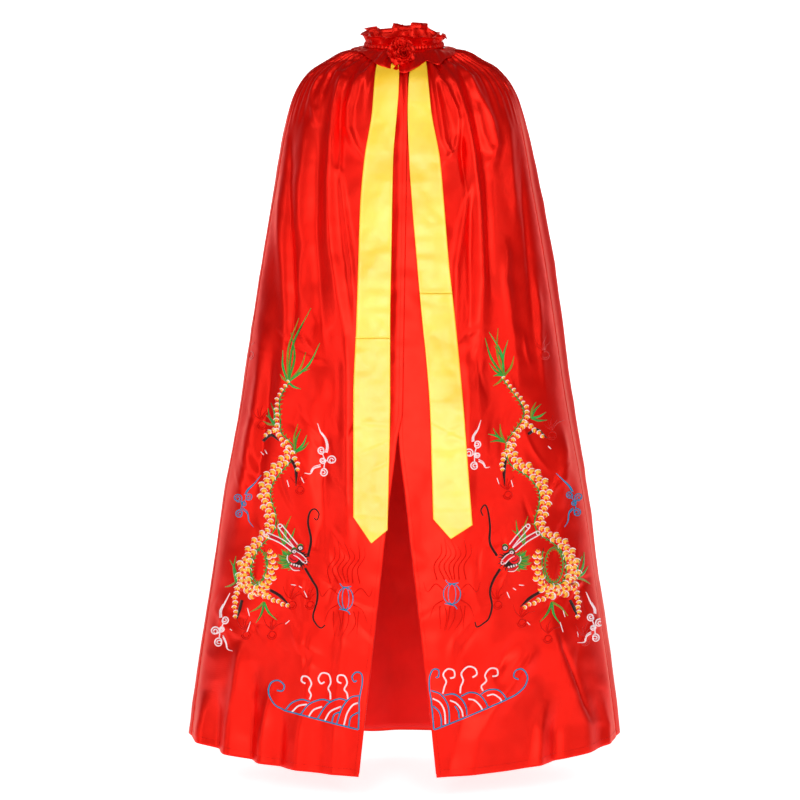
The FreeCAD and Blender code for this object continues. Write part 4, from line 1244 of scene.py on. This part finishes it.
def dragon(side, D):
    m = -side          # +1 when the dragon faces the wearer's right front
    scaly(side, D["body"], D["widths"], 5.2, spines=D["spine"])
    hole = D["hole"]
    pts = [(hole[0] + hole[2] * math.cos(a), hole[1] + hole[3] * math.sin(a)) for a in np.linspace(0, 2 * math.pi, 22, endpoint=False)]
    stroke(side, "green", pts, 1.2, 0.6, closed=True)
    for k, (x, y) in enumerate(pts):
        dx, dy = hole[0] - x, hole[1] - y
        L = math.hypot(dx, dy)
        stroke(side, "green", [(x, y), (x + dx / L * 3.0, y + dy / L * 3.0)], (1.4, 0.4), 0.6)
    for b, tips in D["tufts"]:
        tuft(side, b, tips)
    for leg in D["legs"]:
        scaly(side, leg, (6.5, 6.0, 5.0), 4.6)
    for c in D["claws"]:
        claw(side, c)
    # head: mane, brow, snout, teeth, horns, whiskers
    hx, hy = D["head"]
    f = D["face"]      # direction the snout points, +1 towards +X
    for k in range(17):
        a = math.pi * (0.70 + 0.66 * k / 16.0)
        r1 = 6.0
        r2 = 16.5 + 4.5 * math.sin(2.3 * k) ** 2 - 0.25 * abs(k - 8)
        bx, by = hx - 1 * f, hy + 3
        key = ("green", "olive", "mint", "green", "olive")[k % 5]
        mid = 0.5 * (r1 + r2)
        stroke(side, key, [(bx + f * r1 * math.cos(a), by - r1 * math.sin(a)),
                           (bx + f * mid * math.cos(a + 0.10), by - mid * 0.80 * math.sin(a + 0.10)),
                           (bx + f * r2 * math.cos(a - 0.04), by - r2 * 0.74 * math.sin(a - 0.04))], (2.6, 2.4, 0.5), 0.9)
        if k % 2:
            stroke(side, "dark", [(bx + f * r1 * 0.9 * math.cos(a + 0.05), by - r1 * 0.9 * math.sin(a + 0.05)),
                                  (bx + f * mid * math.cos(a + 0.16), by - mid * 0.8 * math.sin(a + 0.16))], (1.3, 0.4), 1.1)
    for k in range(12):
        a = -0.9 + 2.9 * k / 11.0
        r2 = 11.5 + 2.5 * math.sin(2.1 * k) ** 2
        stroke(side, "dark", [(hx + f * 6.5 * math.cos(a), hy + 3 + 6 * math.sin(a)), (hx + f * r2 * math.cos(a + 0.15), hy + 3 + r2 * 0.92 * math.sin(a + 0.15))], (2.0, 0.4), 0.8)
    patch(side, "dark", (hx + 1.0 * f, hy + 2.5), 9.2, 8.6, 0.3 * f, 0.7, 0.1, rings=4, segs=20)
    patch(side, "scarlet", (hx - 3.2 * f, hy + 2.0), 6.6, 5.8, 0, 1.0, 0.6, rings=4, segs=18)
    stroke(side, "white", [(hx - 9 * f, hy - 1), (hx - 9.6 * f, hy + 3), (hx - 7.5 * f, hy + 7)], (0.8, 1.1, 0.8), 1.2, lift=0.6)
    stroke(side, "dark", [(hx - 6.8 * f, hy + 1.5), (hx - 4 * f, hy + 4.2), (hx - 0.5 * f, hy + 4.4)], (0.8, 1.1, 0.7), 1.2, lift=0.9)
    snout = [(hx - 1.5 * f, hy - 2.6), (hx + 3.5 * f, hy + 0.4), (hx + 8.2 * f, hy + 5.2)]
    stroke(side, "scarlet", snout, (3.6, 4.4, 4.0), 1.7, lift=0.5)
    for e in (-1, 1):
        stroke(side, "white", [(x + e * 2.3 * 0.66 * f, y - e * 2.3 * 0.75) for x, y in snout], (0.8, 1.1, 0.9), 1.5, lift=0.9)
    ring(side, "white", (hx + 8.6 * f, hy + 5.8), 1.5, 0.8, 2.2)
    stroke(side, "scarlet", [(hx - 7 * f, hy + 8.5), (hx - 3 * f, hy + 12), (hx + 3 * f, hy + 12.5)], (2.2, 3.0, 1.6), 1.4, lift=0.4)
    stroke(side, "white", [(hx - 7 * f, hy + 10.6), (hx - 3 * f, hy + 14.2), (hx + 3 * f, hy + 14.4)], (0.6, 1.0, 0.6), 1.4, lift=0.5)
    for k in range(4):
        tx, ty = hx - 5.2 * f + 2.5 * k * f, hy + 8.0 + 0.7 * k
        patch(side, "white", (tx, ty), 1.2, 1.6, 0, 0.9, 1.2, rings=2, segs=8)
    for ex, ey in D["eyes"]:
        patch(side, "white", (ex, ey), 2.7, 2.3, 0, 0.8, 1.9, rings=2, segs=12)
        patch(side, "dark", (ex + 0.4 * f, ey + 0.3), 1.25, 1.25, 0, 0.6, 2.7, rings=2, segs=8)
        ring(side, "dark", (ex, ey), 2.7, 0.7, 2.4)
        stroke(side, "mint", [(ex - 3.0 * f, ey - 1.4), (ex - 0.5 * f, ey - 3.6), (ex + 2.6 * f, ey - 2.6)], (0.7, 1.3, 0.7), 1.8)
    for horn in D["horns"]:
        stroke(side, "orange", horn, (3.6, 3.0, 2.2), 0.7)
        h = np.array(horn, float)
        d = h[-1] - h[0]
        nrm = np.array([-d[1], d[0]]) / np.linalg.norm(d)
        up = [tuple(p + nrm * 2.2) for p in h]
        dn = [tuple(p - nrm * 2.2) for p in h]
        stroke(side, "white", up, 1.1, 1.0, lift=0.2)
        stroke(side, "white", dn, 1.1, 1.0, lift=0.2)
        ring(side, "white", tuple(h[-1]), 1.9, 1.0, 1.0)
    for wsk in D["whiskers"]:
        stroke(side, "dark", wsk, (2.4, 2.1, 1.8, 1.5, 1.1), 0.9)


DR_R = dict(
    body=((288, 382), (284, 387), (279, 395), (277, 402), (277, 421), (278, 434), (284, 442), (289, 449), (288, 456), (281, 463),
          (273, 472), (267, 481), (264, 493), (266, 504), (270, 515), (270, 526), (264, 535), (256, 543), (249, 554), (244, 567),
          (244, 578), (247, 589), (259, 592), (267, 585), (271, 574), (273, 563), (270, 551)),
    widths=(2.6, 4.2, 5.5, 6.5, 9.5, 11.0, 11.5, 11.0, 9.5, 9.5, 11.0, 12.5, 12.5, 12.0, 10.0, 8.0), spine=-1,
    hole=(258.5, 566, 8.0, 17.0),
    tufts=(((288, 382), ((311, 308), (320, 343), (299, 318), (291, 332), (283, 350), (306, 352), (310, 369), (301, 389), (280, 374))),
           ((274, 425), ((268, 408), (266, 415), (263, 421), (271, 403))),
           ((295, 452), ((301, 429), (307, 435), (298, 424), (309, 442))),
           ((236, 582), ((236, 556), (233, 567), (225, 587), (230, 560))),
           ((264, 602), ((256, 623), (277, 620), (250, 612))),
           ((284, 545), ((278, 519), (284, 524), (291, 516), (295, 528)))),
    legs=(((277, 427), (272, 431), (265, 435)), ((290, 449), (296, 460), (298, 470)), ((240, 580), (235, 600), (236, 617)),
          ((256, 592), (270, 598), (288, 606))),
    claws=(((263, 441), (271, 435), (279, 441)), ((291, 459), (296, 470), (296, 486)), ((242, 600), (240, 608), (237, 619)),
           ((270, 590), (280, 596), (290, 606))),
    head=(297, 556), face=1, eyes=((294.5, 551.5), (300.5, 548.0)),
    horns=(((293, 550), (281, 541), (265, 534)), ((296, 546), (288, 536), (280, 526))),
    whiskers=(((308, 556), (311, 540), (308, 523), (310, 512), (315, 509), (319, 514), (317, 520), (314, 518)),
              ((305, 568), (312, 580), (317, 589), (317, 601), (313, 616), (316, 624), (321, 628), (325, 625))),
)
DR_L = dict(
    body=((504, 378), (512, 388), (521, 399), (527, 410), (525, 421), (518, 432), (512, 442), (511, 450), (516, 462), (530, 470),
          (542, 483), (546, 495), (544, 509), (540, 522), (543, 530), (554, 537), (566, 547), (572, 561), (573, 575), (568, 587),
          (554, 592), (542, 584), (537, 568), (538, 551)),
    widths=(2.6, 4.2, 5.5, 6.5, 9.5, 11.0, 11.5, 11.0, 9.5, 9.5, 11.0, 12.5, 12.5, 12.0, 10.0, 8.0), spine=1,
    hole=(554, 565, 9.0, 17.5),
    tufts=(((504, 376), ((485, 338), (489, 332), (498, 328), (494, 345), (508, 340), (514, 356), (489, 363), (493, 376), (493, 386))),
           ((531, 418), ((541, 404), (546, 412), (536, 402), (547, 420))),
           ((505, 442), ((493, 428), (488, 434), (500, 424), (490, 442))),
           ((577, 578), ((582, 556), (588, 566), (590, 584), (584, 552))),
           ((552, 602), ((540, 622), (560, 624), (568, 616))),
           ((524, 545), ((516, 520), (522, 526), (528, 516), (512, 530)))),
    legs=(((527, 424), (535, 430), (543, 436)), ((509, 447), (503, 458), (502, 470)), ((572, 580), (578, 600), (578, 617)),
          ((556, 592), (542, 599), (524, 607))),
    claws=(((528, 434), (537, 430), (547, 438)), ((506, 458), (504, 472), (505, 486)), ((570, 600), (574, 608), (578, 618)),
           ((540, 592), (530, 598), (520, 607))),
    head=(511, 557), face=-1, eyes=((505.0, 548.0), (511.5, 552.5)),
    horns=(((514, 550), (526, 540), (538, 533)), ((511, 546), (519, 536), (528, 526))),
    whiskers=(((497, 556), (490, 543), (490, 526), (488, 511), (485, 505), (481, 510), (483, 516)),
              ((500, 569), (493, 581), (490, 592), (492, 606), (489, 618), (484, 623), (477, 627), (475, 622))),
)
dragon(-1, DR_R)
dragon(1, DR_L)

# clouds
cloud(-1, "white", [(317.6, 423.3), (320.4, 431.7), (325.0, 438.6), (326.8, 446.0), (325.6, 452.5)],
      ((321.4, 450.2, 3.9), (332.0, 460.0, 4.6), (322.6, 460.4, 3.2), (323.4, 472.6, 4.2)), [(320.6, 466.3), (313.6, 468.6), (310.4, 473.6), (304.3, 473.0)], flip=1)
cloud(-1, "blue", [(261.4, 475.0), (254.0, 484.0), (248.5, 489.5), (246.0, 494.5)],
      ((248.8, 496.5, 3.7), (237.6, 498.2, 4.6), (244.0, 503.6, 2.8), (239.5, 514.0, 4.2)), [(242.0, 509.0), (247.5, 513.5), (249.0, 521.0), (253.5, 527.0)], 1.0, flip=-1)
cloud(-1, "white", [(230.0, 593.0), (224.5, 603.5), (221.3, 610.5), (221.5, 617.5)],
      ((225.0, 619.8, 3.9), (215.0, 631.0, 4.6), (221.5, 629.0, 3.0), (218.8, 642.5, 4.6)), [(223.0, 637.0), (226.0, 643.0), (227.5, 649.0), (232.5, 651.0)], flip=-1)
cloud(1, "white", [(481.0, 420.0), (477.8, 429.5), (474.0, 436.0), (473.6, 441.5)],
      ((477.2, 444.0, 3.9), (468.6, 453.0, 4.6), (477.4, 455.0, 3.0), (474.6, 466.0, 4.2)), [(478.5, 461.0), (483.0, 463.5), (485.6, 467.5), (490.0, 467.0)], flip=-1)
cloud(1, "blue", [(556.0, 473.0), (563.5, 480.5), (568.8, 486.0), (571.8, 491.5)],
      ((569.6, 494.5, 3.7), (578.8, 497.2, 4.4), (573.6, 503.0, 2.8), (576.8, 512.5, 4.2)), [(573.4, 509.0), (569.0, 513.5), (568.0, 521.0), (564.5, 527.0)], 1.0, flip=1)
cloud(1, "white", [(586.0, 592.0), (590.5, 602.0), (594.0, 608.5), (594.4, 613.5)],
      ((590.8, 617.0, 3.9), (600.0, 622.6, 4.6), (592.8, 627.6, 3.0), (595.4, 638.0, 4.2)), [(591.0, 633.5), (586.5, 636.5), (584.5, 642.0), (577.5, 642.6)], flip=1)
# short white dashes beside the claws
for side, dashes in ((-1, ((291, 584.6, 296, 585.2), (299, 586, 302, 588), (304, 591, 307, 597.5), (285.5, 624, 289.5, 620.5), (247.5, 608, 249.5, 616),
                           (247, 632, 250.5, 621.5), (230, 629, 232, 630.5), (287, 480, 289, 487), (301, 477, 304, 483), (261, 452, 264, 455), (265, 450, 267, 454))),
                     (1, ((519, 585, 524, 585.4), (513, 588, 516, 590), (507, 592, 509.5, 598), (527, 622, 530, 625), (563, 610, 565, 617),
                          (560, 622, 563, 632), (511, 480, 513, 487), (497, 478, 499, 484), (548, 446, 551, 449)))):
    for x1, y1, x2, y2 in dashes:
        stroke(side, "white", [(x1, y1), (x2, y2)], (0.8, 0.9, 0.6), 0.7, step=1.5)


def lantern(side, cx, cy, rx, ry):
    ring(side, "blue", (cx, cy), rx, 1.0, 0.8, squash=ry / rx)
    ring(side, "blue", (cx, cy), rx * 0.45, 0.8, 0.7, squash=ry / (rx * 0.45))
    stroke(side, "blue", [(cx - rx * 0.75, cy - ry - 4.0), (cx - rx * 0.45, cy - ry - 1.0), (cx + rx * 0.1, cy - ry - 0.3), (cx + rx * 0.75, cy - ry - 1.2)], 1.0, 0.8)
    stroke(side, "blue", [(cx - rx * 0.85, cy + ry - 0.5), (cx - rx * 0.3, cy + ry + 0.4), (cx + rx * 0.3, cy + ry + 1.8), (cx + rx * 0.6, cy + ry + 5.0)], 1.0, 0.8)
    # tone on tone flames, streamers and tassels
    for k in range(7):
        x = cx - 15 + 5 * k
        stroke(side, "redthread", [(x + 3 * math.sin(k), cy - ry - 4), (x - 3, cy - ry - 18), (x + 4, cy - ry - 30), (x + 1 + 3 * math.cos(k), cy - ry - 40 - 6 * (k % 2))], (1.5, 1.3, 1.0, 0.4), 0.35)
    for k in range(6):
        x = cx - 12 + 5 * k
        stroke(side, "redthread", [(x, cy + ry + 2), (x + 2 * math.sin(2 * k), cy + ry + 14), (x - 3 + 4 * math.cos(k), cy + ry + 27)], (1.2, 1.0, 0.4), 0.35)
    for s in (-1, 1):
        stroke(side, "redthread", [(cx + s * rx, cy - 4), (cx + s * (rx + 8), cy - 10), (cx + s * (rx + 16), cy - 2), (cx + s * (rx + 20), cy - 12)], (1.3, 1.0, 0.4), 0.35)
        stroke(side, "redthread", [(cx + s * rx, cy + 6), (cx + s * (rx + 9), cy + 12), (cx + s * (rx + 14), cy + 24)], (1.3, 0.9, 0.4), 0.35)


lantern(-1, 345.6, 598.5, 7.5, 11.0)
lantern(1, 452.0, 594.0, 8.5, 10.0)
# tone on tone flames near the claws and along the body
for side, spots in ((-1, ((300, 485), (292, 600), (272, 630), (262, 420), (246, 630), (250, 350), (310, 600))),
                    (1, ((508, 490), (522, 618), (548, 634), (552, 430), (585, 636), (545, 350), (498, 600)))):
    for i, (cx, cy) in enumerate(spots):
        for k in range(5):
            a = -math.pi / 2 + (k - 2) * 0.42 + 0.3 * math.sin(i)
            L = 13 + 4 * math.sin(3 * k + i)
            stroke(side, "redthread", [(cx, cy), (cx + 0.5 * L * math.cos(a - 0.25), cy + 0.5 * L * math.sin(a - 0.25)),
                                       (cx + L * math.cos(a), cy + L * math.sin(a))], (1.3, 1.2, 0.4), 0.35)
        ring(side, "redthread", (cx, cy + 5), 2.4, 1.1, 0.6, turns=1.5, grow=1.0)

# wave corners
WAVES = {
    -1: dict(
        blue=(((358.2, 729.6), (335, 723.8), (310, 717.2), (284.1, 710.3)),
              ((284.1, 710.0), (274.5, 704.3), (268.6, 693.1), (270.5, 683.5), (277.7, 680.3), (284.1, 685.1), (282.5, 690.7), (276.9, 690.5)),
              ((358.4, 729.4), (359.1, 712), (359.3, 699.5), (362.2, 683.5), (361.5, 674.2), (356.2, 672.2), (352.0, 676.8), (354.3, 681.9), (356.7, 680.3)),
              ((285.7, 709.6), (292.1, 702.7), (301.6, 699.5), (309.8, 701.6)), ((300.8, 714.2), (308.8, 704.3), (321.5, 699.5), (330.4, 701.6)),
              ((317.6, 718.4), (327.2, 704.3), (338.8, 698.9), (347.3, 700.8)), ((336.7, 723.6), (342.3, 707.5), (350.5, 697.6), (359.0, 695.7)),
              ((331.9, 722.0), (334.3, 714.6), (341.3, 711.6)), ((348.7, 726.4), (350.8, 717.2), (358.0, 712.4))),
        white=(((292.1, 711.8), (298.5, 705.9), (307.0, 704.3)), ((308.8, 716.4), (313.6, 709.9), (322.0, 706.6)), ((324.8, 720.4), (330.4, 711.5), (341.0, 706.5)),
               ((343.9, 725.2), (347.1, 713.4), (352.4, 705.4), (358.0, 702.8)),
               ((309.6, 699.3), (311.0, 694.7), (309.0, 689.9), (311.4, 683.5), (308, 677.2), (302.6, 676.4), (301.6, 681.1), (305.4, 683.5)),
               ((330.4, 699.3), (330.2, 693.1), (328.2, 688.3), (330.7, 682.2), (328.6, 674.4), (321.8, 673.2), (318.4, 678.6), (320.8, 683.5), (324.6, 681.9)),
               ((347.9, 699.0), (346.9, 693.1), (344.3, 689.1), (347.1, 683.0), (344.5, 676.0), (338.4, 675.6), (337.5, 681.1), (341.3, 683.3)))),
    1: dict(
        blue=(((434.2, 729.8), (458, 720.5), (482.5, 710.2), (507, 699.4)),
              ((507, 699.2), (516.5, 694.2), (525, 686), (527.4, 676.5), (522.5, 669.2), (515.8, 670.6), (513.8, 676.6), (518.4, 679.4)),
              ((433.8, 729.4), (432.4, 712), (431.0, 699), (429.4, 688), (429.6, 677), (433.2, 669.6), (438.6, 670.2), (438.4, 676.8), (435.8, 677.2)),
              ((431.2, 690.6), (440.5, 694.2), (447, 703), (449.2, 713), (449.3, 723.0)), ((444.0, 695.2), (453.5, 694), (461.4, 699), (466, 707), (467, 715.2)),
              ((461.2, 696.2), (470, 692.4), (479, 694.6), (485, 701), (488, 707.2)), ((480.6, 694.6), (487.5, 690.2), (496.5, 689.6), (502.6, 693.4), (506.4, 699)),
              ((433.2, 706), (438.6, 711), (441, 717.5), (441.4, 726)), ((455, 706), (458.4, 711.5), (459.2, 718.2))),
        white=(((432.6, 698.4), (440, 702.6), (444.4, 711), (445.4, 724)), ((450, 700.4), (456.5, 703.4), (461.6, 710), (463, 716.6)), ((468.2, 699), (474.6, 700.4), (480, 705.6), (482.4, 709.8)),
               ((487, 695.8), (493.4, 694.4), (499.6, 698), (501.6, 701.2)),
               ((442.8, 693.6), (444.4, 687), (446.2, 681.4), (443.2, 674.6), (447.6, 669), (453.8, 670.6), (454.4, 676.8), (450, 678.2)),
               ((460.2, 693.2), (460.8, 686.6), (463.2, 680.4), (461.4, 673.4), (467.6, 666.8), (474.8, 668.2), (476.8, 674.2), (472.4, 677.4)),
               ((483, 690.8), (481.4, 686.2), (486.4, 680.8), (485, 675.2), (490, 668.6), (496.8, 669.2), (497.4, 675), (492.4, 676.4)))),
}
for side, W in WAVES.items():
    for line in W["blue"]:
        stroke(side, "blue", line, 1.4, 0.8)
    for line in W["white"]:
        stroke(side, "white", line, 1.5, 0.9)

# topstitching along the front edge and the hem
for side, word in ((1, "left"), (-1, "right")):
    PHI, T = front_grid(side, 150, 380)
    S, N = displaced(PHI, T, side)
    G = grid_normals(S)
    if (G * N).sum() < 0:
        G = -G
    A = bucket(side, "stitch")
    lines = []
    w_mm = np.linalg.norm(S[:, 1] - S[:, 0], axis=-1)
    edge = []
    for i in range(30, S.shape[0]):
        j = min(0.008 / max(w_mm[i], 1e-5), 20)
        j0 = int(j)
        fr = j - j0
        edge.append((S[i, j0] * (1 - fr) + S[i, j0 + 1] * fr, G[i, j0]))
    lines.append(edge)
    hemline = []
    for j in range(2, S.shape[1] - 1):
        step = np.linalg.norm(S[-1, j] - S[-2, j])
        k = 0.013 / step
        k0 = int(k)
        fr = k - k0
        hemline.append((S[-1 - k0, j] * (1 - fr) + S[-2 - k0, j] * fr, G[-1 - k0, j]))
    lines.append(hemline)
    for line in lines:
        p = np.array([q[0] for q in line])
        g = np.array([q[1] for q in line])
        s = np.concatenate([[0], np.cumsum(np.linalg.norm(np.diff(p, axis=0), axis=1))])
        pos = 0.004
        while pos + 0.003 < s[-1]:
            ends = []
            for q in (pos, pos + 0.0028):
                ends.append(np.array([np.interp(q, s, p[:, k]) for k in range(3)]))
            gn = np.array([np.interp(pos, s, g[:, k]) for k in range(3)])
            gn /= np.linalg.norm(gn)
            d = ends[1] - ends[0]
            d /= np.linalg.norm(d)
            b = np.cross(gn, d) * 0.00035
            base = len(A["v"])
            top = gn * 0.0003
            for e in ends:
                A["v"] += [tuple(e - b - top), tuple(e - b + top), tuple(e + b + top), tuple(e + b - top)]
                A["uv"] += [(pos, 0)] * 4
            for k in range(4):
                k2 = (k + 1) % 4
                A["f"].append((base + k, base + 4 + k, base + 4 + k2, base + k2))
            A["f"].append((base, base + 1, base + 2, base + 3))
            A["f"].append((base + 7, base + 6, base + 5, base + 4))
            pos += 0.0042

KEYS = {"white": (T_WHITE, "cloud_and_spray_thread"), "cream": (T_CREAM, "scale_rims"), "yellow": (T_YELLOW, "scales"),
        "orange": (T_HORN, "horns"), "green": (T_GREEN, "mane_and_spines"), "olive": (T_OLIVE, "olive_leaves"),
        "mint": (T_MINT, "bright_leaves"), "blue": (T_BLUE, "blue_thread"), "dark": (T_DARK, "whiskers_and_claws"),
        "scarlet": (T_SCARLET, "face"), "coral": (T_ORANGE, "scale_hearts"), "redthread": (T_RED, "tone_on_tone"), "stitch": (T_RED, "topstitching")}
embroidery = {1: [], -1: []}
for (side, key), A in sorted(ACC.items()):
    word = "left" if side > 0 else "right"
    mat, what = KEYS[key]
    ob = new_object("%s_%s" % (word, what), A["v"], A["f"], [mat], A["uv"])
    hold(ob)
    embroidery[side].append(ob)

# ------------------------------------------------------------------ cut sizes of the cloth
def cut(P, closed=False):
    """Width, length and area of a grid of cloth laid flat."""
    Q = np.concatenate([P, P[:, :1]], 1) if closed else P
    w = np.linalg.norm(np.diff(Q, axis=1), axis=-1).sum(1).max()
    l = np.linalg.norm(np.diff(Q, axis=0), axis=-1).sum(0).max()
    return float(w), float(l), float(grid_area(Q))


def declare(ob, P, closed=False):
    w, l, a = cut(P, closed)
    CUTS[ob.name] = (round(w, 3), round(l, 3), round(a, 4))


CUTS = {}
for side, word in ((1, "left"), (-1, "right")):
    PHI, T = front_grid(side, 150, 380)
    declare(pieces[word + "_front_cloth"][0], displaced(PHI, T, side)[0])
    PHI, T = front_grid(side, 90, 200, shrink=0.006)
    declare(pieces[word + "_front_lining_cloth"][0], displaced(PHI, T, side)[0])
PHI, T = back_grid(230, 240)
declare(back, displaced(PHI, T, 0)[0])
PHI, T = back_grid(150, 150, shrink=0.006)
declare(back_lin, displaced(PHI, T, 0)[0])
declare(ruffle, ruffle_grid, True)
declare(ruffle_in, P2, True)
declare(rose_foot, foot_grid, True)
declare(casing, casing_grid, True)
declare(frill, F, True)
for R in RIBBONS.values():
    for ob, grid in zip(R["pieces"], R["grids"]):
        declare(ob, grid)
for ob, a, width in ((rose_out, rose_out_area, 0.032), (rose_in, rose_in_area, 0.020), (rose_core, rose_core_area, 0.014)):
    CUTS[ob.name] = (round(a / width, 3), width, round(a, 4))
for k in sorted(CUTS):
    print("CUT", k, CUTS[k])

# ------------------------------------------------------------------ stage
def plain(name, colour, rough=0.9, emit=0.0):
    m, nt, b = nodes_of(name)
    b.inputs["Base Color"].default_value = (*colour, 1)
    b.inputs["Roughness"].default_value = rough
    b.inputs["Specular IOR Level"].default_value = 0.1
    if emit:
        b.inputs["Emission Color"].default_value = (1, 1, 1, 1)
        b.inputs["Emission Strength"].default_value = emit
    return m


FLOOR_Z = -1.405
pts = []
for k in range(13):
    a = math.radians(90 * k / 12)
    pts.append((6.0 + 1.2 * math.sin(a), FLOOR_Z + 1.2 * (1 - math.cos(a))))
prof = [(-9.0, FLOOR_Z)] + pts + [(7.2, 6.0)]
verts, faces = [], []
for y, z in prof:
    verts += [(-9, y, z), (9, y, z)]
for i in range(len(prof) - 1):
    faces.append((2 * i, 2 * i + 1, 2 * i + 3, 2 * i + 2))
floor = new_object("floor", verts, faces, [plain("pale_floor", (0.93, 0.93, 0.93), emit=0.80)])

world = bpy.data.worlds.new("studio")
bpy.context.scene.world = world
world.use_nodes = True
bg = world.node_tree.nodes["Background"]
bg.inputs["Color"].default_value = (1, 1, 1, 1)
bg.inputs["Strength"].default_value = 0.12


def area(name, loc, target, size, power, size_y=None):
    d = bpy.data.lights.new(name, "AREA")
    d.shape = "RECTANGLE"
    d.size, d.size_y = size, size_y or size
    d.energy = power
    o = bpy.data.objects.new(name, d)
    bpy.context.scene.collection.objects.link(o)
    o.location = loc
    o.rotation_euler = (Vector(target) - Vector(loc)).to_track_quat("-Z", "Y").to_euler()


area("key_left", (-2.8, -1.7, 0.1), (0, 0, -0.6), 0.4, 17, 2.4)
area("key_right", (2.6, -2.1, 0.1), (0, 0, -0.6), 0.4, 15, 2.4)
area("top_front", (0.0, -2.5, 1.9), (0, 0, -0.12), 1.2, 15, 0.5)
area("front_left", (-0.75, -4.6, 0.25), (0, 0, -0.65), 0.7, 50, 1.8)
area("front_right", (0.85, -4.6, 0.15), (0, 0, -0.65), 0.6, 40, 1.6)

shown = {}
